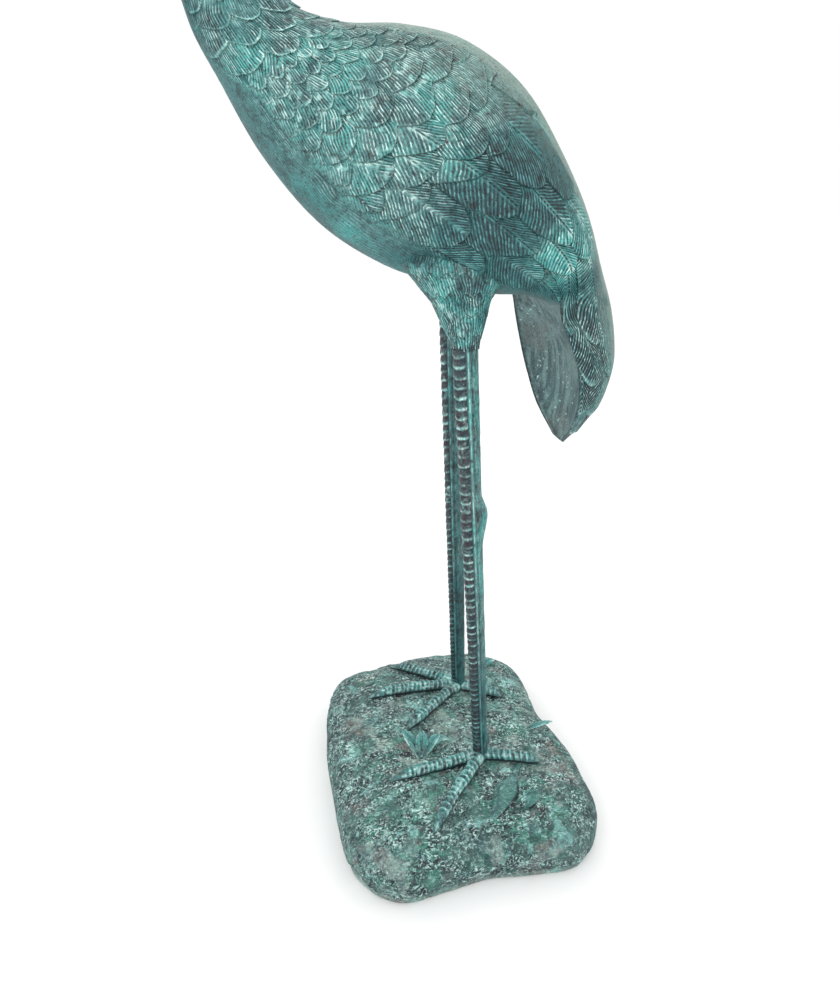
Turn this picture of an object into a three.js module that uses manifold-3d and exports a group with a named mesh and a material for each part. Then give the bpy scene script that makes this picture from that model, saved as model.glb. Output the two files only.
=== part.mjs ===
import * as THREE from 'three';
import { mergeVertices } from 'three/addons/utils/BufferGeometryUtils.js';
import Module from 'manifold-3d';

// A standing crane cast in bronze, and the cast rock that it stands on.
// Millimetres, +Z up. The bird faces -X and its left side faces -Y. The origin is on the rock's
// flat underside, under the middle of the stance.

const wasm = await Module();
wasm.setup();

const degree = Math.PI / 180;
const castingGap = 0.3;

// Sections of head end, neck, body and tail, from the head down to the tail tip. back and front are
// [x, z] points of the outline in the bird's middle plane, and halfWidth is the section's half width.
// edge is where the section is widest. It is halfway from back to front unless it is given: in the
// tail it lies ahead of front, which makes the hollow underside between the two rims.
const bodySections = [
  { back: [-284, 1588], front: [-326, 1578], halfWidth: 19 },
  { back: [-277, 1470], front: [-321, 1468], halfWidth: 20 },
  { back: [-290, 1335], front: [-341, 1325], halfWidth: 23 },
  { back: [-281, 1210], front: [-361, 1190], halfWidth: 36 },
  { back: [-243, 1140], front: [-350, 1116], halfWidth: 50 },
  { back: [-186, 1119], front: [-322, 1056], halfWidth: 70 },
  { back: [-112, 1118], front: [-279, 976], halfWidth: 90 },
  { back: [-38, 1103], front: [-216, 900], halfWidth: 104 },
  { back: [35, 1056], front: [-140, 850], halfWidth: 109 },
  { back: [89, 982], front: [-65, 823], halfWidth: 109 },
  { back: [127, 912], front: [-8, 809], halfWidth: 103 },
  { back: [155, 842], front: [46, 805], edge: [74, 824], halfWidth: 92 },
  { back: [181, 776], front: [94, 783], edge: [72, 791], halfWidth: 87 },
  { back: [185, 715], front: [127, 722], edge: [91, 729], halfWidth: 106 },
  { back: [171, 661], front: [136, 663], edge: [103, 672], halfWidth: 95 },
  { back: [145, 620], front: [131, 618], edge: [110, 625], halfWidth: 62 },
  { back: [128, 583], front: [124, 584], edge: [120, 588], halfWidth: 16 },
];
const bodyColumns = 40;
const columnCrowding = 0.17;
// The tail is hollow underneath: the hollow opens over hollowGrowth sections from tailRimSection on,
// and rimTurn is the share of the way round from the edge over which the wall turns inwards.
const tailRimThickness = 9;
const tailRimSection = 11.3;
const hollowGrowth = 0.6;
const rimTurn = 0.25;

// Rows of feathers that overlap like shingles. from and to are section numbers of the first and the
// last row of tips, lip is how far a tip stands off, and reach is the scallop's depth in sections.
const featherZones = [
  { name: 'neck scales', from: 2.95, to: 4.9, rows: 6, feathers: 8, lip: 2.5, reach: 0.19 },
  { name: 'shoulder scales', from: 5.2, to: 6.15, rows: 5, feathers: 20, lip: 2.2, reach: 0.12 },
  { name: 'wing coverts', from: 6.35, to: 7.35, rows: 5, feathers: 10, lip: 3.2, reach: 0.2 },
  { name: 'long wing feathers', from: 7.9, to: 9.6, rows: 3, feathers: 10, lip: 4, reach: 0.42 },
  { name: 'tail feathers', from: 12.1, to: 15.1, rows: 4, feathers: 10, lip: 3, reach: 0.34 },
];
// On the wing the rows bulge towards the tail by rowBulge.sections at rowBulge.middle, in degrees from
// the back's middle line, and less beside it, by a bell of that width.
const rowBulge = { sections: 0.55, middle: 76, width: 24, growth: [5.9, 7.4], decline: [11.2, 12.4] };
// A tip is a tongue that is rounder with a higher roundness, and lipStep is the step under it.
const tongueRoundness = 2.2;
const lipStep = 0.03;
const longestSpan = 0.82;
const neckRings = [0, 0.8, 1.6, 2.4];
const tipRings = [15.6, 16];

// The folded wing stands off the body. It grows over wingGrowth sections, and is at its full
// thickness from the second angle of wingShoulder on, in degrees from the back's middle line.
const wingStart = 6.2;
const wingGrowth = 2.5;
const wingEnd = 9.7;
const wingThickness = 7;
const wingShoulder = [15, 75];

// Smooth areas without feathers, in degrees from the back's middle line: a band along the back out
// to bandEnd, which widens towards the tail, and the belly from bellyStart on. The neck and the tail
// change these angles.
const smoothAreas = {
  neckEnd: [4.6, 5.4],
  tailStart: [11.1, 11.6],
  bandEnd: 34,
  neckBandNarrowing: 24,
  bandWidening: 16,
  wideningSections: [7, 10],
  bandFade: 9,
  bellyStart: 120,
  neckBellyShift: 18,
  tailBellyShift: -34,
  bellyFade: 14,
  tailFadeNarrowing: 8,
};

// Head: rings along its axis, from the back of the skull to the beak tip. ahead is the distance in
// front of the skull's centre.
const headCentre = new THREE.Vector3(-312, 0, 1590);
const headPitch = 8 * degree;
const headRings = [
  { ahead: -40, up: 6, down: 6, half: 6 },
  { ahead: -33, up: 21, down: 18, half: 17 },
  { ahead: -15, up: 32, down: 28, half: 25 },
  { ahead: 7, up: 34, down: 29, half: 27 },
  { ahead: 28, up: 29, down: 25, half: 23 },
  { ahead: 44, up: 18, down: 18, half: 16 },
  { ahead: 60, up: 14, down: 14, half: 12 },
  { ahead: 105, up: 11, down: 10, half: 9 },
  { ahead: 155, up: 8, down: 6, half: 6 },
  { ahead: 194, up: 5, down: 3, half: 3.5 },
  { ahead: 206, up: 2, down: 1, half: 1.5 },
];
const headColumns = 12;
const eye = { ahead: 18, rise: 8, side: 23, radius: 7 };

// Legs and thighs. The bird's left leg is at -Y and stands a little ahead of the right one.
const hemLevel = 755;
const legs = [
  { side: -1, hem: [-52, -80], foot: [-14, -92] },
  { side: 1, hem: [-22, 80], foot: [6, 92] },
];
const legFootHalf = 11.5;
const legHemHalf = 17;
const legNarrowness = 0.86;
const legRidge = { angle: 72, width: 8, height: 2.2 };
const legAngles = [0, 24, 46, 64, 72, 80, 104, 130, 156, 180];
const hock = { level: 518, above: 38, below: 54, bulge: 10, behind: 120 };
const legLevels = [70, 464, 496, 518, 536, 556, 790];
const thighRings = [
  { rise: 0, long: 20, wide: 18.5, ahead: 0, inward: 0 },
  { rise: 14, long: 24, wide: 20.5, ahead: 1, inward: 2 },
  { rise: 35, long: 30.5, wide: 25, ahead: 2, inward: 6 },
  { rise: 58, long: 40, wide: 31, ahead: 3, inward: 13 },
  { rise: 80, long: 57, wide: 37, ahead: 3, inward: 21 },
  { rise: 103, long: 72, wide: 40, ahead: 2, inward: 29 },
  { rise: 126, long: 60, wide: 34, ahead: 0, inward: 33 },
];
const thighTufts = 10;
const tuftDrop = 6;
const tuftRelief = 1.4;
const tuftFade = [40, 110];

// Toes: heading is the direction seen from above, in degrees from +X towards +Y. The claw takes the
// last clawShare of the length and keeps clawTip of the radius at its point. Joints swell the toe
// jointCount times along its length.
const toeRadius = 9.5;
const toeColumns = 8;
const toeTaper = 1.6;
const jointSwell = 0.9;
const jointCount = 3.6;
const clawShare = 0.17;
const clawTip = 0.14;
const toeShares = [0, 0.15, 0.3, 0.44, 0.58, 0.71, 1 - clawShare, 1 - clawShare / 2, 1];
// The toe's axis lies this share of its radius above the rock, and the claw's point much lower.
const toeBedding = 0.72;
const clawBedding = 0.28;
const toes = [
  { side: -1, heading: 186, length: 154 },
  { side: -1, heading: 227, length: 168 },
  { side: -1, heading: -18, length: 95 },
  { side: 1, heading: 176, length: 163 },
  { side: 1, heading: 218, length: 156 },
  { side: 1, heading: 134, length: 143 },
  { side: 1, heading: -34, length: 84 },
];

// Rock: radii of its widest outline around rockCentre, every 15 degrees from +X towards +Y.
const rockCentre = [-55, -20];
const rockRadii = [
  200, 198, 228, 272, 284, 274, 266, 268, 268, 241, 210, 198,
  194, 203, 229, 266, 278, 250, 236, 254, 286, 272, 234, 213,
];
const rockHeight = 90;
const rockWaist = 40;
const rockColumns = 40;
const rockTopShares = [0.2, 0.4, 0.58, 0.72, 0.83, 0.9, 0.96, 1];
const rockSkirt = [{ share: 0.995, z: 20 }, { share: 0.975, z: 5 }, { share: 0.95, z: 0 }];
// The rock's top swells and dips in slow waves, given by their lengths and phases.
const rockSwell = 4;
const rockWaves = { alongX: 41, phaseX: 0.8, alongY: 37, phaseY: 0.4, slanting: 23, slantingShare: 0.6 };

// Leaves of the small plants on the rock. root and tip are [x, y, height above the rock], and rise
// is how far the leaf arches up between them.
const leaves = [
  { root: [-106, -62, -4], tip: [-126, -20, 24], half: 9, rise: 5 },
  { root: [-105, -62, -4], tip: [-96, -38, 28], half: 10, rise: 5 },
  { root: [-102, -62, -4], tip: [-72, -56, 27], half: 9, rise: 5 },
  { root: [-102, -58, -2], tip: [-52, -46, 6], half: 10, rise: 16 },
  { root: [80, -38, -8], tip: [121, -62, 34], half: 7, rise: 3 },
  { root: [66, 148, -6], tip: [98, 158, 10], half: 9, rise: 6 },
];
// Leaves that lie on the rock and stand off it by height.
const flatLeaves = [
  { root: [46, -114], tip: [-34, -212], half: 21, height: 9 },
  { root: [64, -164], tip: [22, -204], half: 13, height: 7 },
];
const leafRings = [0, 0.2, 0.42, 0.65, 0.85, 1];
const leafBedding = 1.5;
// A leaf's outline is part of a half wave, from stemPhase on, and a free leaf is thickest where it
// is widest. A flat leaf starts with a stalk of that share of its width, up to where the blade grows.
const leafOutline = { stemPhase: 0.12, span: 0.86, fullness: 0.8, narrowest: 1 };
const leafStalk = { share: 0.35, bladeGrowth: [0.25, 0.6] };
const leafThickness = { least: 1, share: 0.28 };

const clamp01 = (value) => Math.min(1, Math.max(0, value));

function smoothStep(low, high, value) {
  const share = clamp01((value - low) / (high - low));
  return share * share * (3 - 2 * share);
}

// Closed surface through rings with equal counts of points, with a fan at each end.
function loft(rings) {
  const columns = rings[0].length;
  const points = rings.flat();
  const ends = [rings[0], rings[rings.length - 1]].map((ring) => {
    const middle = new THREE.Vector3();
    ring.forEach((point) => middle.addScaledVector(point, 1 / columns));
    return middle;
  });
  const faces = [];
  for (let row = 0; row < rings.length - 1; row += 1) {
    for (let column = 0; column < columns; column += 1) {
      const next = (column + 1) % columns;
      const a = row * columns + column;
      const b = row * columns + next;
      faces.push(a, b, b + columns, a, b + columns, a + columns);
    }
  }
  const last = (rings.length - 1) * columns;
  for (let column = 0; column < columns; column += 1) {
    const next = (column + 1) % columns;
    faces.push(points.length, next, column);
    faces.push(points.length + 1, last + column, last + next);
  }
  const geometry = new THREE.BufferGeometry().setFromPoints([...points, ...ends]);
  geometry.setIndex(faces);
  return geometry;
}

// Solid of a closed geometry, turned so that its faces point out.
function toSolid(geometry) {
  const bare = geometry.clone();
  bare.deleteAttribute('normal');
  bare.deleteAttribute('uv');
  const merged = mergeVertices(bare, 1e-4);
  const vertProperties = new Float32Array(merged.attributes.position.array);
  const triVerts = new Uint32Array(merged.index.array);
  const corners = [0, 1, 2].map(() => new THREE.Vector3());
  let volume = 0;
  for (let i = 0; i < triVerts.length; i += 3) {
    corners.forEach((corner, k) => corner.fromArray(vertProperties, 3 * triVerts[i + k]));
    volume += corners[0].dot(corners[1].clone().cross(corners[2]));
  }
  if (volume < 0) {
    triVerts.reverse();
  }
  return new wasm.Manifold(new wasm.Mesh({ numProp: 3, vertProperties, triVerts }));
}

function toGeometry(solid) {
  const { vertProperties, triVerts } = solid.getMesh();
  const geometry = new THREE.BufferGeometry();
  geometry.setAttribute('position', new THREE.BufferAttribute(vertProperties, 3));
  geometry.setIndex(new THREE.BufferAttribute(triVerts, 1));
  geometry.computeVertexNormals();
  return geometry;
}

const fuse = (solids) => solids.reduce((sum, solid) => sum.add(solid));

// Smooth curve through one point for each body section, asked for by section number.
function alongBody(pick) {
  const curve = new THREE.CatmullRomCurve3(bodySections.map(pick), false, 'catmullrom', 0.5);
  return (section) => curve.getPoint(clamp01(section / (bodySections.length - 1)));
}

const middleOf = (section) => [0, 1].map((k) => (section.back[k] + section.front[k]) / 2);
const inPlane = ([x, z]) => new THREE.Vector3(x, 0, z);
const backAt = alongBody((section) => inPlane(section.back));
const frontAt = alongBody((section) => inPlane(section.front));
const edgeAt = alongBody((section) => inPlane(section.edge ?? middleOf(section)));
const halfWidthAt = alongBody((section) => new THREE.Vector3(section.halfWidth, 0, 0));

// Point of the bird's skin. angle runs from the back's middle line round to the front's.
function skinPoint(section, angle, lift) {
  const cos = Math.cos(angle);
  const sin = Math.sin(angle);
  const edge = edgeAt(section);
  const half = halfWidthAt(section).x;
  const reach = (cos >= 0 ? backAt(section) : frontAt(section)).sub(edge);
  const hollow = smoothStep(tailRimSection, tailRimSection + hollowGrowth, section);
  const wall = Math.min(tailRimThickness, half / 2);
  const width = half - wall * hollow * smoothStep(0, rimTurn, -cos);
  const normal = reach.clone().multiplyScalar(Math.abs(cos) / reach.lengthSq());
  normal.y = sin / half;
  const point = edge.addScaledVector(reach, Math.abs(cos));
  point.y = width * sin;
  return point.addScaledVector(normal.normalize(), lift);
}

const fromBackLine = (angle) => Math.abs(Math.atan2(Math.sin(angle), Math.cos(angle))) / degree;

// How much of a feather row shows: none along the smooth band on the back, none on the belly.
function plumage(section, angle) {
  const fromBack = fromBackLine(angle);
  const area = smoothAreas;
  const neck = 1 - smoothStep(...area.neckEnd, section);
  const tail = smoothStep(...area.tailStart, section);
  const widening = area.bandWidening * smoothStep(...area.wideningSections, section);
  const bandEnd = area.bandEnd + widening - area.neckBandNarrowing * neck;
  const bellyStart = area.bellyStart + area.neckBellyShift * neck + area.tailBellyShift * tail;
  const bellyEnd = bellyStart + area.bellyFade - area.tailFadeNarrowing * tail;
  const offBand = smoothStep(bandEnd - area.bandFade, bandEnd, fromBack);
  return offBand * (1 - smoothStep(bellyStart, bellyEnd, fromBack));
}

// How far a row's line lies towards the tail at an angle.
function bulge(section, angle) {
  const grown = smoothStep(...rowBulge.growth, section) - smoothStep(...rowBulge.decline, section);
  const aside = (fromBackLine(angle) - rowBulge.middle) / rowBulge.width;
  return rowBulge.sections * grown * Math.exp(-aside * aside);
}

function wingLift(section, angle) {
  const grown = smoothStep(wingStart, wingStart + wingGrowth, section);
  const inWing = section < wingEnd ? 1 : 0;
  const towardEdge = smoothStep(...wingShoulder, fromBackLine(angle));
  return wingThickness * grown * inWing * towardEdge * plumage(section, angle);
}

const columnAngles = Array.from({ length: bodyColumns }, (_, column) => {
  const turn = (2 * Math.PI * column) / bodyColumns;
  return turn + columnCrowding * Math.sin(2 * turn);
});

// A row of tips is two rings: the raised tips, and the skin just under them. Up to the wing's last row
// that skin is the wing's own.
function featherRow(zone, row) {
  const step = (zone.to - zone.from) / (zone.rows - 1);
  const at = zone.from + step * row;
  const scallop = columnAngles.map((angle, column) => {
    const place = ((column * zone.feathers) / bodyColumns + (row % 2) / 2) % 1;
    const tongue = 1 - Math.abs(2 * place - 1) ** tongueRoundness;
    return at + bulge(at, angle) + zone.reach * tongue * plumage(at, angle);
  });
  const tips = scallop.map((section, column) => {
    const angle = columnAngles[column];
    return { section, lift: zone.lip * plumage(at, angle) + wingLift(at, angle) };
  });
  const under = scallop.map((section, column) => {
    const lift = at + step / 2 < wingEnd ? wingLift(at, columnAngles[column]) : 0;
    return { section: section + lipStep, lift };
  });
  return [tips, under];
}

const plainRing = (section) => columnAngles.map(() => ({ section, lift: 0 }));
const meanSection = (ring) => ring.reduce((sum, spot) => sum + spot.section, 0) / ring.length;

function halfwayRing(before, after) {
  return before.map((spot, column) => ({
    section: (spot.section + after[column].section) / 2,
    lift: (spot.lift + after[column].lift) / 2,
  }));
}

function bodySolid() {
  const rings = neckRings.map(plainRing);
  for (const zone of featherZones) {
    for (let row = 0; row < zone.rows; row += 1) {
      rings.push(...featherRow(zone, row));
    }
  }
  rings.push(...tipRings.map(plainRing));
  const filled = [rings[0]];
  for (const ring of rings.slice(1)) {
    const before = filled[filled.length - 1];
    if (meanSection(ring) - meanSection(before) > longestSpan) {
      filled.push(halfwayRing(before, ring));
    }
    filled.push(ring);
  }
  const placed = filled.map((ring) =>
    ring.map(({ section, lift }, column) => skinPoint(section, columnAngles[column], lift)),
  );
  return toSolid(loft(placed));
}

function headSolid() {
  const rings = headRings.map(({ ahead, up, down, half }) =>
    Array.from({ length: headColumns }, (_, column) => {
      const angle = (2 * Math.PI * column) / headColumns;
      const height = Math.cos(angle) * (Math.cos(angle) > 0 ? up : down);
      return new THREE.Vector3(-ahead, half * Math.sin(angle), height);
    }),
  );
  const eyes = [-1, 1].map((side) => {
    const ball = new THREE.SphereGeometry(eye.radius, 8, 5);
    return ball.translate(-eye.ahead, side * eye.side, eye.rise);
  });
  const solids = [loft(rings), ...eyes].map((geometry) => {
    geometry.rotateY(headPitch).translate(...headCentre);
    return toSolid(geometry);
  });
  return fuse(solids);
}

function legCentre(leg, level) {
  const rise = (level - rockHeight) / (hemLevel - rockHeight);
  return [0, 1].map((k) => leg.foot[k] + (leg.hem[k] - leg.foot[k]) * rise);
}

function legSolid(leg) {
  const around = [...legAngles, ...legAngles.slice(1, -1).reverse().map((angle) => 360 - angle)];
  const rings = legLevels.map((level) => {
    const [x, y] = legCentre(leg, level);
    const share = clamp01((level - rockHeight) / (hemLevel - rockHeight));
    const half = legFootHalf + (legHemHalf - legFootHalf) * share;
    const above = smoothStep(hock.level + hock.above, hock.level, level);
    const below = smoothStep(hock.level - hock.below, hock.level, level);
    const bulge = hock.bulge * (level > hock.level ? above : below);
    return around.map((angle) => {
      const fromFront = Math.abs(angle > 180 ? angle - 360 : angle);
      const onRidge = Math.max(0, 1 - Math.abs(fromFront - legRidge.angle) / legRidge.width);
      const swell = legRidge.height * onRidge + bulge * smoothStep(hock.behind, 180, fromFront);
      const cos = Math.cos(angle * degree);
      const sin = Math.sin(angle * degree);
      const long = half + swell;
      return new THREE.Vector3(x - long * cos, y + (half * legNarrowness + swell) * sin, level);
    });
  });
  return toSolid(loft(rings));
}

function thighSolid(leg) {
  const columns = 2 * thighTufts;
  const rings = thighRings.map(({ rise, long, wide, ahead, inward }) =>
    Array.from({ length: columns }, (_, column) => {
      const angle = (2 * Math.PI * column) / columns;
      const tuft = column % 2 === 0 ? 1 : -1;
      const relief = tuft * tuftRelief * (1 - smoothStep(...tuftFade, rise));
      const drop = rise === 0 ? (tuft * tuftDrop) / 2 : 0;
      return new THREE.Vector3(
        leg.hem[0] - ahead + (long + relief) * Math.cos(angle),
        leg.hem[1] - leg.side * inward + (wide + relief) * Math.sin(angle),
        hemLevel + rise - drop,
      );
    }),
  );
  return toSolid(loft(rings));
}

// Rock outline and height. share is the distance from the centre over the outline's radius.
function rockRadius(angle) {
  const count = rockRadii.length;
  const place = ((angle / (2 * Math.PI)) * count + count) % count;
  const first = Math.floor(place);
  const [p0, p1, p2, p3] = [-1, 0, 1, 2].map((k) => rockRadii[(first + k + count) % count]);
  const t = place - first;
  const slopes = (p2 - p0) * t;
  const bend = (2 * p0 - 5 * p1 + 4 * p2 - p3) * t * t;
  const twist = (3 * p1 - p0 - 3 * p2 + p3) * t * t * t;
  return p1 + (slopes + bend + twist) / 2;
}

function rockTop(x, y) {
  const dx = x - rockCentre[0];
  const dy = y - rockCentre[1];
  const share = Math.min(1, Math.hypot(dx, dy) / rockRadius(Math.atan2(dy, dx)));
  const dome = Math.sqrt(1 - share ** 4);
  const wave = rockWaves;
  const crossed = Math.sin(x / wave.alongX + wave.phaseX) * Math.cos(y / wave.alongY + wave.phaseY);
  const waves = crossed + wave.slantingShare * Math.sin((x + y) / wave.slanting);
  return rockWaist + (rockHeight - rockWaist) * dome + rockSwell * waves * dome * share;
}

// Four-sided leaf through a row of middle points, widest a little before its half length.
function leafSolid({ root, tip, half, rise, height }) {
  const flat = height !== undefined;
  const onRock = (x, y, above) => new THREE.Vector3(x, y, rockTop(x, y) + above);
  const from = onRock(root[0], root[1], root[2] ?? 0);
  const to = onRock(tip[0], tip[1], tip[2] ?? 0);
  const across = new THREE.Vector3(from.y - to.y, to.x - from.x, 0).normalize();
  const rings = leafRings.map((share) => {
    const middle = from.clone().lerp(to, share);
    const phase = Math.PI * (leafOutline.stemPhase + leafOutline.span * share);
    const blade = flat ? smoothStep(...leafStalk.bladeGrowth, share) : 1;
    const fullWidth = half * (leafStalk.share + (1 - leafStalk.share) * blade);
    const width = Math.max(leafOutline.narrowest, fullWidth * Math.sin(phase) ** leafOutline.fullness);
    const thick = flat ? (height * width) / half : leafThickness.least + leafThickness.share * width;
    const ring = [[width, 0], [0, thick], [-width, 0], [0, -thick]];
    return ring.map(([side, up]) => {
      const point = middle.clone().addScaledVector(across, side);
      point.z += up + (flat ? 0 : rise * Math.sin(Math.PI * share));
      return flat ? onRock(point.x, point.y, side === 0 ? up : -leafBedding) : point;
    });
  });
  return toSolid(loft(rings));
}

function rockSolid() {
  const ringAt = (share, height) =>
    Array.from({ length: rockColumns }, (_, column) => {
      const angle = (2 * Math.PI * column) / rockColumns;
      const x = rockCentre[0] + share * rockRadius(angle) * Math.cos(angle);
      const y = rockCentre[1] + share * rockRadius(angle) * Math.sin(angle);
      return new THREE.Vector3(x, y, height ?? rockTop(x, y));
    });
  const top = rockTopShares.map((share) => ringAt(share));
  const skirt = rockSkirt.map(({ share, z }) => ringAt(share, z));
  return toSolid(loft([...top, ...skirt]));
}

function toeSolid({ side, heading, length }) {
  const { foot } = legs.find((leg) => leg.side === side);
  const ahead = [Math.cos(heading * degree), Math.sin(heading * degree)];
  const rings = toeShares.map((share) => {
    const x = foot[0] + ahead[0] * length * share;
    const y = foot[1] + ahead[1] * length * share;
    const claw = clamp01((share - 1 + clawShare) / clawShare);
    const joint = jointSwell * Math.abs(Math.sin(share * Math.PI * jointCount));
    const radius = (toeRadius - toeTaper * share + joint) * (1 - (1 - clawTip) * claw);
    const height = rockTop(x, y) + toeRadius * toeBedding * (1 - (1 - clawBedding) * claw);
    return Array.from({ length: toeColumns }, (_, column) => {
      const angle = (2 * Math.PI * column) / toeColumns;
      const out = radius * Math.cos(angle);
      const up = radius * Math.sin(angle);
      return new THREE.Vector3(x - ahead[1] * out, y + ahead[0] * out, height + up);
    });
  });
  return toSolid(loft(rings));
}

const rock = fuse([rockSolid(), ...[...leaves, ...flatLeaves].map(leafSolid)]);
const limbs = legs.flatMap((leg) => [thighSolid(leg), legSolid(leg)]);
const bird = fuse([bodySolid(), headSolid(), ...limbs, ...toes.map(toeSolid)]);
const seatedBird = bird.subtract(rock.translate([0, 0, castingGap])).subtract(rock);

const patina = new THREE.MeshStandardMaterial({ color: 0x6a9793, roughness: 0.72, metalness: 0.55 });
const rockPatina = new THREE.MeshStandardMaterial({ color: 0x76918e, roughness: 0.82, metalness: 0.4 });

const sculpture = new THREE.Group();
const crane = new THREE.Mesh(toGeometry(seatedBird), patina);
crane.name = 'crane';
const rockBase = new THREE.Mesh(toGeometry(rock), rockPatina);
rockBase.name = 'rock_base';
sculpture.add(crane, rockBase);

export default sculpture;
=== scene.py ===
"""Standing crane cast in bronze on a cast rock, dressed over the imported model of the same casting.

Shapes are worked out in millimetres in the model's own frame: +Z up, the bird faces -X, its left side
faces -Y, and the origin is on the rock's underside. They become metres when a mesh is made.
"""

from types import SimpleNamespace

import bpy
import numpy as np
from bpy.props import FloatProperty, FloatVectorProperty, PointerProperty
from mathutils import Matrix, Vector


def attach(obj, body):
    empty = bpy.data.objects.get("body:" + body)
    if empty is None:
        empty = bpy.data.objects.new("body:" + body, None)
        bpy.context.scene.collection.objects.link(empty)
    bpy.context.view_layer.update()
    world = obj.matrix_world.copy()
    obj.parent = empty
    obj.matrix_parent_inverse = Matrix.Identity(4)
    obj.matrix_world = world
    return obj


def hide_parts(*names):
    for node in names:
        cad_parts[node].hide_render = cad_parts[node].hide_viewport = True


bl_info = {
    "name": "Crane casting",
    "version": (1, 0, 0),
    "blender": (4, 5, 0),
    "location": "3D View > Sidebar > Crane",
    "description": "Builds a cast crane with carved plumage on a cast rock",
    "category": "Add Mesh",
}

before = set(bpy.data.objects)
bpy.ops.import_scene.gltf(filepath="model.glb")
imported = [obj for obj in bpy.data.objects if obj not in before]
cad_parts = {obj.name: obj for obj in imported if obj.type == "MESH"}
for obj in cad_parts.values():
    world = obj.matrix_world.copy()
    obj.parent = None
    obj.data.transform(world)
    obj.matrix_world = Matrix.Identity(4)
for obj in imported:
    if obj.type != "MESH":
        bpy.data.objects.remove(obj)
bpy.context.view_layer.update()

DEGREE = np.pi / 180
TURN = 2 * np.pi

# Sections of the bird from the head end of the neck to the tail tip: back x and z, front x and z,
# edge x and z (where the section is widest), half width.
SECTIONS = np.array([
    (-284, 1588, -326, 1578, -305, 1583, 19),
    (-277, 1470, -321, 1468, -299, 1469, 20),
    (-290, 1335, -341, 1325, -315.5, 1330, 23),
    (-281, 1210, -361, 1190, -321, 1200, 36),
    (-243, 1140, -350, 1116, -296.5, 1128, 50),
    (-186, 1119, -322, 1056, -254, 1087.5, 70),
    (-112, 1118, -279, 976, -195.5, 1047, 90),
    (-38, 1103, -216, 900, -127, 1001.5, 104),
    (35, 1056, -140, 850, -52.5, 953, 109),
    (89, 982, -65, 823, 12, 902.5, 109),
    (127, 912, -8, 809, 59.5, 860.5, 103),
    (155, 842, 46, 805, 74, 824, 92),
    (181, 776, 94, 783, 72, 791, 87),
    (185, 715, 127, 722, 91, 729, 106),
    (171, 661, 136, 663, 103, 672, 95),
    (145, 620, 131, 618, 110, 625, 62),
    (128, 583, 124, 584, 120, 588, 16),
], float)
LAST_SECTION = len(SECTIONS) - 1
# The angle round the body at an even turn is turn + CROWDING * sin(2 * turn).
CROWDING = 0.17
# The tail is hollow from that section on, with a rim of that thickness.
RIM_SECTION = 11.3
RIM_THICKNESS = 9
# The folded wing stands off the body. It grows over some sections, and from one angle to another in
# degrees from the back's middle line.
WING = {"start": 6.2, "growth": 2.5, "thickness": 7, "shoulder": (15, 75)}

# Zones of feathers: first and last row of tips, rows, feathers all round, how far a tip stands off,
# depth of its scallop in sections, kind of feather.
ZONES = [
    (0.75, 2.65, 7, 8, 1.2, 0.12, "scale"),
    (2.95, 4.9, 6, 8, 2.5, 0.19, "scale"),
    (5.2, 6.15, 5, 20, 2.2, 0.12, "small"),
    (6.35, 7.35, 5, 10, 3.2, 0.2, "covert"),
    (7.9, 9.6, 3, 10, 4, 0.42, "vane"),
    (12.1, 15.1, 4, 10, 3, 0.34, "vane"),
]
LAST_WING_ROW = 9.6
# Rows after that section have feathers of the fine kind.
FINE_TAIL_ROW = 13
# Coverts after that section, and more degrees than that from the back's middle line, are carved as
# vanes.
LONG_COVERTS = {"after": 6.7, "below": 82}
# A tip is a tongue, 1 - |2 * place - 1| ** roundness. It leans aside by up to half of lean, and its
# length is the share least of the row's scallop and up to spread more.
TONGUE = {"roundness": 2.2, "lean": 0.22, "least": 0.78, "spread": 0.4}
# On the wing the rows bulge towards the tail by that many sections at its middle line, in degrees
# from the back's, and less beside it, by a bell of that width.
ROW_BULGE = {"sections": 0.55, "middle": 76, "width": 24, "growth": (5.9, 7.4), "decline": (11.2, 12.4)}
# How each kind of feather is carved: slant of its strokes and how much that varies, in degrees, light
# on its edge, painted shadow beneath its tip, turquoise round it, and share of a shaft.
KINDS = {
    "scale": (5, 14, 1.3, 0.3, 0.7, 0),
    "small": (16, 50, 1.0, 0.5, 1.5, 0),
    "covert": (27, 20, 0.3, 1.1, 0.95, 0),
    "vane": (0, 0, 0.25, 1.0, 0.5, 1),
    "fine": (0, 0, 0.15, 0.6, 0.4, 0.4),
}
KIND_NAMES = list(KINDS)
TRAITS = ("slant", "spread", "rim_light", "under_dark", "deposit", "shafted")
# Shaft of a vane: its distance from the feather's middle as a share of the width, and the distance
# and width of its two ridges.
SHAFT = {"place": -0.15, "apart": 1.9, "width": 0.95}
# In degrees: how far strokes fan out across a feather and waver along it, and the angle between barbs
# and their shaft and how much it varies.
STROKE_FAN = 14
STROKE_WAVER = 7
BARB_ANGLE = 32
BARB_SPREAD = 12
# Each feather's strokes start at a phase of their own, up to this one. Where strokes are weaker than
# that strength, the plain lines of the smooth areas show.
PHASE_JUMP = 31.7
PLAIN_BELOW = 0.1
# Body pieces: name, first and last section, rows and columns of the grid. The columns stand closer
# together on the sides, where the carving is, and on the left side more than on the right: an even
# turn becomes turn + GRID_CROWDING * sin(2 * turn) + LEFT_CROWDING * (1 - cos(turn)).
BODY_PIECES = [
    ("neck", 0, 2.95, 190, 120),
    ("shoulders", 2.95, 6.2, 225, 250),
    ("wing_front", 6.2, 8.55, 185, 300),
    ("wing_back", 8.55, 11.2, 190, 300),
    ("tail", 11.2, LAST_SECTION, 205, 290),
]
GRID_CROWDING = 0.15
LEFT_CROWDING = 0.32

HEAD_CENTRE = np.array([-312.0, 0.0, 1590.0])
HEAD_PITCH = 8 * DEGREE
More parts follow.
